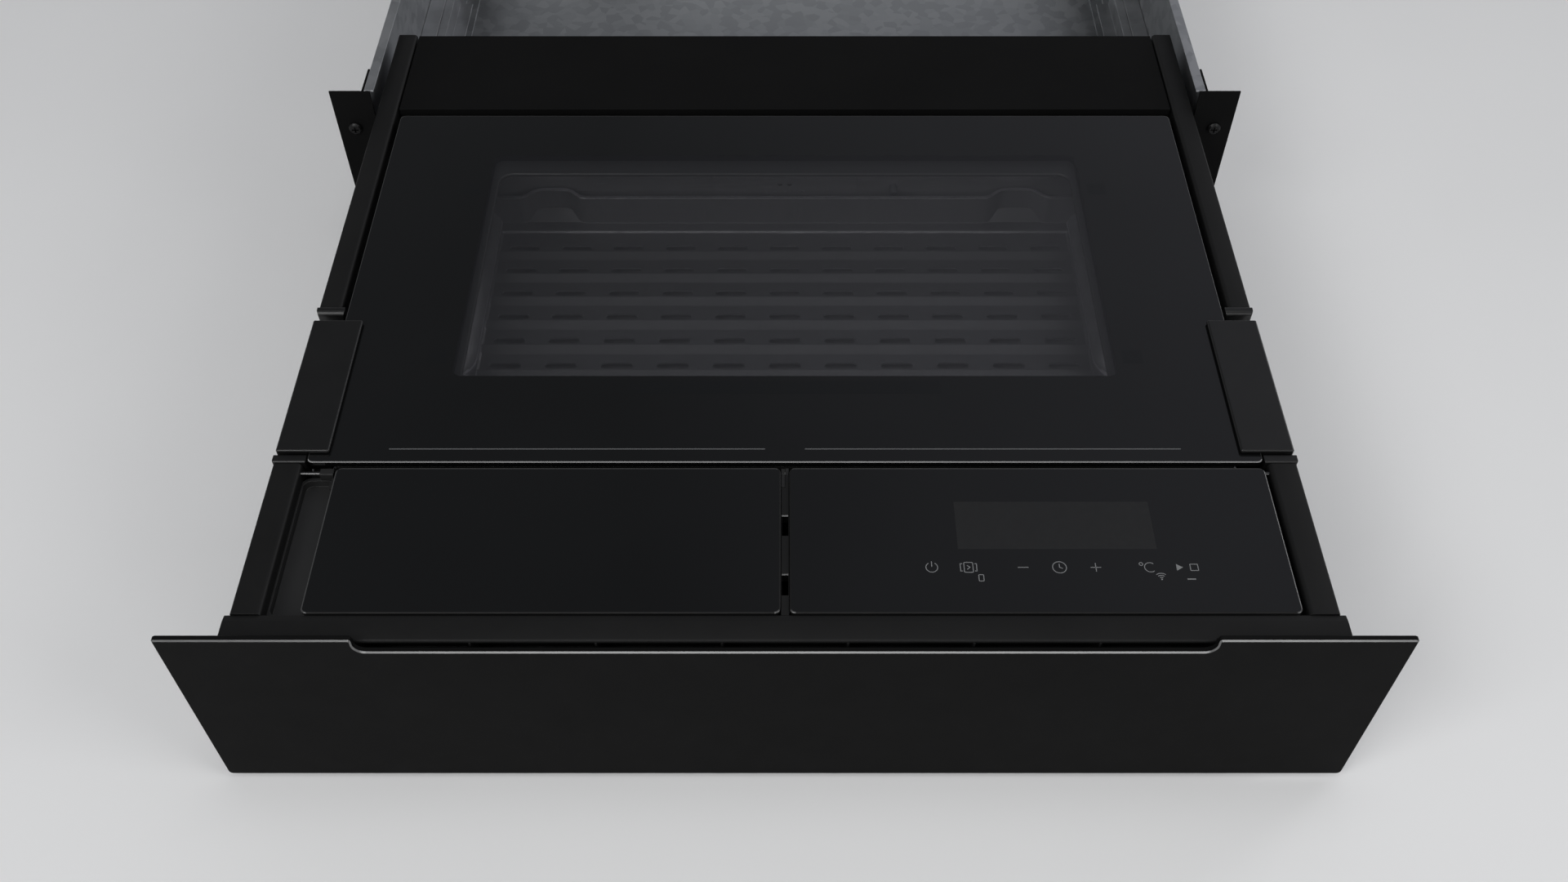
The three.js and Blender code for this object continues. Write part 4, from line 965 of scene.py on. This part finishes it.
def slot_band(row):
    """One flat band of the tray's floor with its row of slots."""
    slot_end, end_bend = 9.8, SLOT_HALF - 0.05
    holes = []
    for i in range(SLOT_COLUMNS):
        x = (i - (SLOT_COLUMNS - 1) / 2) * COLUMN_PITCH
        ends = (x - slot_end, x + slot_end, row - SLOT_HALF, row + SLOT_HALF)
        holes.append(rect(*ends, end_bend, 5))
    band = rect(-FIELD_END, FIELD_END, row - BAND_HALF, row + BAND_HALF)
    return sheet(band, holes, "z", SLOT_BAND)


def rib_runs():
    """The ribs in front of, between and behind the slotted bands, as runs of (y, z) points."""
    # Distances in front of a row of slots, and heights above its band.
    rib = [(12.4, 0.0), (11.5, 0.08), (10.5, 0.26), (4.8, 1.3), (4.4, 1.34), (4.15, 1.2), (3.95, 0.0)]
    rear_bend = [(1.5, 0.0), (1.4, 0.5), (1.1, 0.95), (0.6, 1.28), (0.0, RIB_HEIGHT)]
    runs = []
    for i in range(SLOT_ROWS):
        row = FIRST_ROW + i * ROW_PITCH
        run = [(row - ahead, SLOT_BAND + z) for ahead, z in rib]
        before, after = (row - ROW_PITCH + BAND_HALF, SLOT_BAND), (row - BAND_HALF, SLOT_BAND)
        runs.append([before, *run, after])
    runs[0][:4] = [(FIELD_FRONT, TRAY_LEDGE)]
    last = [(FIELD_REAR - ahead, SLOT_BAND + z) for ahead, z in rear_bend]
    return runs + [[(row + BAND_HALF, SLOT_BAND), *last]]


def tray_field():
    """The ribbed field: slotted bands, ribs, and short slopes from the ribs' ends to the border."""
    field = [slot_band(FIRST_ROW + i * ROW_PITCH) for i in range(SLOT_ROWS)]
    runs = rib_runs()
    for run in runs:
        ends = ([(x, y, z) for y, z in run] for x in (-FIELD_END, FIELD_END))
        field.append(ribbon(*ends))
    points = [point for run in runs for point in run]
    for side in SIDES.values():
        inner = [(side * FIELD_END, y, z) for y, z in points]
        outer = [(side * FIELD_HALF, y, TRAY_LEDGE) for y, _ in points]
        field.append(ribbon(inner, outer))
    return field


def tray_finish(face, middle):
    """Which of the tray's finishes a face has: copies of its sheet paint highlights on rim tops, slot
    walls and the bend line, shade on the walls, and light on the notch slopes.
    """
    tilt = abs(face.normal.z)
    # Rim tops take the lighter steel: painted highlight.
    if middle.z > tray.z1 - 0.2 and tilt > 0.8:
        return "steel_painted_highlight"
    # The ledge's bend line takes a lighter copy: painted highlight.
    if FIELD_REAR - 1.4 < middle.y < FIELD_REAR:
        return "sheet_painted_highlight"
    # Slot walls take the lighter steel: painted highlight.
    if middle.z < SLOT_BAND - 0.1 and tilt < 0.3:
        return "steel_painted_highlight"
    # Notch slopes take a duller, less metallic copy toned for the light there: painted light.
    if middle.y > SLOPE_FOOT - 0.5 and 0.5 < tilt < 0.7 and middle.z < SLOPE_TOP:
        return "notch_painted_light"
    # Walls take a darker copy: painted shade.
    if TRAY_LEDGE + 0.12 < middle.z < tray.z1 - 0.2:
        return "tray_wall_painted_shade"
    return "tray_sheet"


def side_ridge(side):
    """The rounded ridge along one side wall, from the rear wall to its blunt front end."""
    width, height, corner, blunt, into_wall, under = 12.0, 11.0, 10.0, 17.0, 0.4, 0.6
    front, bend = TRAY_REAR - 140.4, TRAY_REAR - corner
    places = [front + blunt * (1 - math.cos(math.radians(a))) for a in range(4, 91, 8)]
    places += [bend - 60, bend]
    places += [bend + corner * math.sin(math.radians(a)) for a in (15, 30, 45, 60, 72, 82)]
    rings = []
    for y in places:
        ahead = max(0.0, (front + blunt - y) / blunt)
        scale = math.sqrt(1 - ahead * ahead)
        past = max(0.0, y - bend)
        outer = TRAY_WALL - corner + math.sqrt(corner * corner - past * past) + into_wall
        section = []
        last = math.acos(max(0.0, min(1.0, (TRAY_WALL - outer) / (width * scale))))
        for i in range(11):
            angle = last * i / 10
            x = TRAY_WALL - width * scale * math.cos(angle)
            section.append((side * x, y, TRAY_LEDGE + height * scale * math.sin(angle)))
        buried, foot = side * (outer + 0.3), TRAY_LEDGE - under
        section += [(buried, y, section[-1][2]), (buried, y, foot), (section[0][0], y, foot)]
        rings.append(section)
    bm = loft(rings)
    bmesh.ops.recalc_face_normals(bm, faces=bm.faces)
    # The ridge's foot takes the lighter steel and its crown the lighter sheet: painted highlights.
    bend, crown = (TRAY_FINISHES.index(name) for name in ("steel_painted_highlight", "sheet_painted_highlight"))
    return paint(bm, lambda _, middle: bend if middle.z < TRAY_LEDGE + 1.8 else crown)


def tray_feet():
    """Four short round feet under the floor."""
    bm = bmesh.new()
    radius, bevel, foot_x = 5, 0.6, 178
    profile = [(radius - bevel, tray.z0), (radius, tray.z0 + bevel)]
    profile.append((radius, SLOT_BAND - TRAY_SHEET / 2))
    for x in (-foot_x, foot_x):
        for y in (TRAY_REAR - 216.2, TRAY_REAR - 5.5):
            lathe(profile, "z", (x, y), 20, bm)
    return bm


def pressed_tray():
    """The tray: ribbed floor with rows of slots, side ridges, notched wall and rolled rim."""
    rings = tray_rings()
    walls = thicken(loft(rings, caps=False), TRAY_SHEET)
    base = merge(*tray_border(rings[0]), *tray_field())
    bmesh.ops.remove_doubles(base, verts=base.verts, dist=0.002)
    bm = merge(walls, extruded(base, (0, 0, -TRAY_SHEET)))
    paint(bm, lambda *face: TRAY_FINISHES.index(tray_finish(*face)))
    bm = merge(bm, *[side_ridge(side) for side in SIDES.values()], tray_feet())
    piece("tray_pressed", bm, "perforated_tray", TRAY_FINISHES, instead=True)


def fan_guard():
    """The guard over the fan's opening in the cavity's rear wall."""
    housing = span("fan_housing")
    half, foot, top = 48, housing.z0 + 16, cavity.z1 - 3
    rear, front = housing.y0 - 1.5, housing.y0 - 2.3
    radius, pitch, reach, fan_z = 1.6, 6.2, 17, (housing.z0 + housing.z1) / 2
    holes = []
    for i in range(-6, 7):
        for j in range(-6, 7):
            x, z = (i + 0.5 * (j % 2)) * pitch, fan_z + j * pitch * 0.87
            if 2 < math.hypot(x, z - fan_z) < reach and z > foot + 4:
                holes.append(arc(x, z, radius, 0, 330, 11))
    bm = perforated(rect(-half, half, foot, top, 5), holes, "y", front, rear)
    piece("fan_guard", bm, "cavity_tub", "cavity_sheet", 0.2, 2)


# ---- divider and flap


def divider_head():
    """The head of the divider in the gap between the two plates, with its two slots."""
    half, slot_half, web_half, top, under = 1.95, 1.65, 1.75, head_top, plate.z0 + 0.2
    front, rear = bar.y1 + 0.3, hinge_y - 10.7
    slots = [(plate.y0 + 11.1, plate.y0 + 23.7), (plate.y0 + 47.2, plate.y0 + 60.1)]
    holes = [rect(-slot_half, slot_half, y0, y1) for y0, y1 in slots]
    head = perforated(rect(-half, half, front, rear), holes, "z", under, top)
    piece("divider_head", head, "divider_frame", "head_moulding", 0.12, 2)
    web = bmesh.new()
    ends = [front, *slots[0], *slots[1], rear]
    for y0, y1 in zip(ends[::2], ends[1::2]):
        prism(rect(-web_half, web_half, y0, y1), "z", deck - 7.4, under + 0.5, web)
    prism(rect(0.1, half, rear - 0.1, arm_rear), "z", under, top, web)
    # Thin strips along the slots' rear edges take the lighter rim finish: painted highlight.
    highlight_half = slot_half - 0.05
    for _, y1 in slots:
        edge = [(y1 - 0.4, top - 0.5), (y1 + 0.05, top + 0.04), (y1 + 0.05, top - 0.5)]
        prism(edge, "x", -highlight_half, highlight_half, web)
    paint(web, lambda _, middle: middle.z > top - 0.6 and middle.y < rear - 1)
    piece("divider_webs", web, "divider_frame", ["head_moulding", "lip_painted_highlight"])


def pin_stub():
    """The locating pin between the control plate and the rail."""
    radius, bevel = (pin.z1 - pin.z0) / 2, 0.2
    start, end = plate.x1 + 0.5, span("front_rail_right").x0 + 0.5
    profile = [(radius - bevel, start - bevel), (radius, start), (radius, end)]
    bm = lathe(profile, "x", (hinge_y, hinge_z), 20)
    piece("locating_pin", bm, "flap_pin_left", "pin_steel")


def flap_frame():
    """The frame under the flap's glass, with an arm and a lug at each end of its hinge line."""
    box = span("flap_frame")
    inset, border, corner, under_glass = 2.5, 12, 3, flap.z0 - 0.2
    x0, x1, y0, y1 = flap.x0 + inset, flap.x1 - inset, flap.y0 + inset, hinge_y - 7.8
    hole = rect(x0 + border, x1 - border, y0 + border, y1 - border, corner)
    plate_frame = perforated(rect(x0, x1, y0, y1, corner), [hole], "z", box.z0, under_glass)
    lug_width, centre_width, overlap, bore_radius = 7, 1.8, 1.2, 1.35
    lug_foot, lug_half = hinge_z - 3.3, 2.2
    lugs = []
    for start, end in ((box.x0, box.x0 + lug_width), (box.x1 - centre_width, box.x1)):
        outline = rect(hinge_y - lug_half, hinge_y + lug_half, lug_foot, box.z1, 0.7, 4)
        bore = arc(hinge_y, hinge_z, bore_radius, 0, 345, 23)
        lugs.append(perforated(outline, [bore], "x", start, end))
    arms = bmesh.new()
    for start, end in ((box.x0 + lug_width - overlap, x0 + border), (x1 - border, box.x1)):
        outline = rect(y1 - overlap, hinge_y - 1.6, lug_foot, under_glass)
        prism(outline, "x", start, end, arms)
    outline = rect(box.x1 - centre_width, box.x1, hinge_y - 10.3, arm_rear)
    prism(outline, "z", under_glass - 0.1, head_top, arms)
    bm = merge(plate_frame, arms, *lugs)
    piece("flap_frame_moulding", bm, "flap_frame", "lug_moulding", 0.35, 2, instead=True)


# ---- housing details


def louvre(x, z, bm):
    """A pressed louvre on the rear wall: a half-round hood with slanted ends."""
    half, slant, rise, reach, wall = 17, 3, 3.2, 1.5, rear_wall.y1
    rings = []
    for place, scale in ((-half, 0.02), (slant - half, 1), (half - slant, 1), (half, 0.02)):
        hood = arc(0, 0, 1, 0, 180, 8)
        rings.append([(x + place, wall + reach * scale * v, z + rise * scale * u) for u, v in hood])
    loft(rings, bm=bm)


def rivets(places, axis, out, radius, height, bm):
    """Domed rivet heads at (u, v, w) places, facing along an axis."""
    for u, v, w in places:
        dome = [math.radians(angle) for angle in (0, 25, 50, 72, 88)]
        profile = [(radius * math.cos(a), w + out * height * math.sin(a)) for a in dome]
        lathe(profile, axis, (u, v), 16, bm)


def housing_louvres():
    """Four columns of louvres on the rear wall."""
    bm = bmesh.new()
    first_x, pitch_x, first_z, pitch_z = 60, 45, 45, 13
    for column in range(4):
        for row in range(5):
            louvre(first_x + column * pitch_x, first_z + row * pitch_z, bm)
    piece("housing_louvres", bm, "housing_rear", "galvanised_sheet")


def housing_rivets():
    """Rivets in the rear wall's borders, beside the mains inlet and along the side walls."""
    inlet, wall = span("mains_inlet"), rear_wall.y1
    border_heights, side_places, side_heights, margin = (12, 68, 124), (-200, -20, 160), (42, 63), 7
    bm = bmesh.new()
    border = [(x, z, wall) for x in (-side_wall.x0, side_wall.x0) for z in border_heights]
    rivets(border, "y", 1, 3, 1.2, bm)
    inlet_z = (inlet.z0 + inlet.z1) / 2
    beside = [(x, inlet_z, wall) for x in (inlet.x0 - margin, inlet.x1 + margin)]
    rivets(beside, "y", 1, 2.4, 1.0, bm)
    for sign in SIDES.values():
        along = [(y, z, sign * side_wall.x1) for y in side_places for z in side_heights]
        rivets(along, "x", sign, 2.6, 1.0, bm)
    piece("housing_rivets", bm, "housing_rear", "zinc_steel")


def housing_hems():
    """The folded hems inside the housing's top edges."""
    depth, fold, clear, gap, bend = 9, 1.6, 0.1, 3, 0.5
    foot, top, bm = rear_wall.z1 - depth, rear_wall.z1 - clear, bmesh.new()
    inner, start, end = side_wall.x1 - 1.2, side_wall.y0 + 26, side_wall.y1 - gap
    for sign in SIDES.values():
        outline = rect(inner - fold, inner, foot, top, bend, 3)
        prism([(sign * x, z) for x, z in outline], "y", start, end, bm)
    outline = rect(rear_wall.y0 - fold, rear_wall.y0, foot, top, bend, 3)
    prism(outline, "x", gap - side_wall.x1, side_wall.x1 - gap, bm)
    piece("housing_hems", bm, "housing_rear", "galvanised_sheet")


def screw_head(node):
    """A mounting screw with a domed head and a cross recess."""
    box = span(node)
    x, z = (box.x0 + box.x1) / 2, (box.z0 + box.z1) / 2
    head, shank, rim, recess, arm, half = (box.x1 - box.x0) / 2, 2.1, 2.3, 1.6, 2.2, 0.5
    corner = [(half, arm), (half, half), (arm, half)]
    cross = []
    for _ in range(4):
        cross += corner
        corner = [(v, -u) for u, v in corner]
    rings = [[(x + u, y, z + v) for u, v in cross] for y in (box.y0 + recess, box.y0)]
    for radius, depth in ((head - 1.2, 0.15), (head, 1.3), (head, rim)):
        scaled = [(radius / math.hypot(u, v), u, v) for u, v in cross]
        rings.append([(x + k * u, box.y0 + depth, z + k * v) for k, u, v in scaled])
    bm = loft(rings)
    profile = [(shank, box.y0 + rim - 0.2), (shank, box.y1 - 2), (0.4, box.y1)]
    lathe(profile, "y", (x, z), 14, bm)
    piece(f"{node}_head", bm, node, "blackened_steel", instead=True)


# ---- stage, lamps and camera


def stage():
    """A plain pale floor."""
    half, level = 20 / MM, -0.3
    bm = bmesh.new()
    flat([(x, y, level) for x, y in rect(-half, half, -half, half)], bm)
    solid("floor", bm, ["pale_floor"])


def lamp(name, place, power, width, height):
    """A soft box, in metres, aimed at the middle of the drawer."""
    light = bpy.data.lights.new(name, "AREA")
    light.shape = "RECTANGLE"
    light.size, light.size_y = width, height
    light.energy = power
    obj = added(name, light)
    obj.location = place
    aim = Vector((0, -0.35, 0.1)) - obj.location
    obj.rotation_euler = aim.to_track_quat("-Z", "Y").to_euler()


def light_scene():
    """Five soft boxes in a grey studio, with a soft glow high up behind, to the right."""
    lamp("key", (-1.5, -2.0, 2.1), 34, 1.4, 1.0)
    lamp("fill", (1.9, -1.4, 1.6), 14, 1.2, 1.0)
    lamp("front", (0.2, -2.7, 1.5), 18, 2.2, 0.6)
    lamp("top", (0.1, -0.6, 2.6), 12, 1.2, 1.2)
    lamp("rear", (2.6, 1.3, 1.6), 12, 1.0, 1.0)
    world = bpy.data.worlds.new("studio")
    world.use_nodes = True
    bpy.context.scene.world = world
    tree = world.node_tree
    nodes, link = tree.nodes, tree.links.new
    place = nodes.new("ShaderNodeTexCoord").outputs["Generated"]
    height = add_node(tree, "ShaderNodeSeparateXYZ", Vector=place).outputs["Z"]
    below, above = (0.62, 0.62, 0.63), (0.14, 0.145, 0.155)
    studio = ramp(tree, height, (0.15, below), (0.45, above))
    link(studio, nodes["Background"].inputs["Color"])
    toward = nodes.new("ShaderNodeVectorMath")
    toward.operation = "DOT_PRODUCT"
    toward.inputs[1].default_value = (0.6, 0.6, 0.53)
    link(place, toward.inputs[0])
    shine = ramp(tree, toward.outputs["Value"], (0.72, (0, 0, 0)), (0.96, (0.17, 0.17, 0.195)))
    glow = add_node(tree, "ShaderNodeBackground", Color=shine)
    both = nodes.new("ShaderNodeAddShader")
    link(nodes["Background"].outputs[0], both.inputs[0])
    link(glow.outputs[0], both.inputs[1])
    link(both.outputs[0], nodes["World Output"].inputs["Surface"])


def camera():
    """The photo's own view, fitted to its vanishing points."""
    data = bpy.data.cameras.new("camera")
    data.sensor_width = 36
    data.lens = 33.76
    obj = added("camera", data)
    obj.location = (-0.0005, -1.0597, 0.7184)
    obj.rotation_euler = (math.radians(40.49), 0, 0)
    bpy.context.scene.camera = obj
    bpy.context.scene.view_settings.view_transform = "Standard"


# ---- assembly

front_panel()
front_bar()
rail("front_rail", inner=252.2, outer=267.1)
cap("front_rail_cap", inner=250.5, outer=267.9, nose=1.2)
rail("rear_rail", inner=253.9, outer=266.8)
cap("rear_rail_cap", inner=251.6, outer=267.5, nose=3.2)
grips()
glass_plate("control_plate", "control_glass", side=1)
glass_plate("flap_plate", "flap_glass", side=-1)
divider_head()
lid_pane()
window_lip()
lid_marks()
control_marks()
pressed_tray()
fan_guard()
flap_frame()
pin_stub()
housing_louvres()
housing_rivets()
housing_hems()
for height in ("low", "high"):
    for side in SIDES:
        screw_head(f"mounting_screw_{height}_{side}")
for node, obj in frame["nodes"].items():
    if not obj.hide_render:
        soften(node)

stage()
light_scene()
camera()
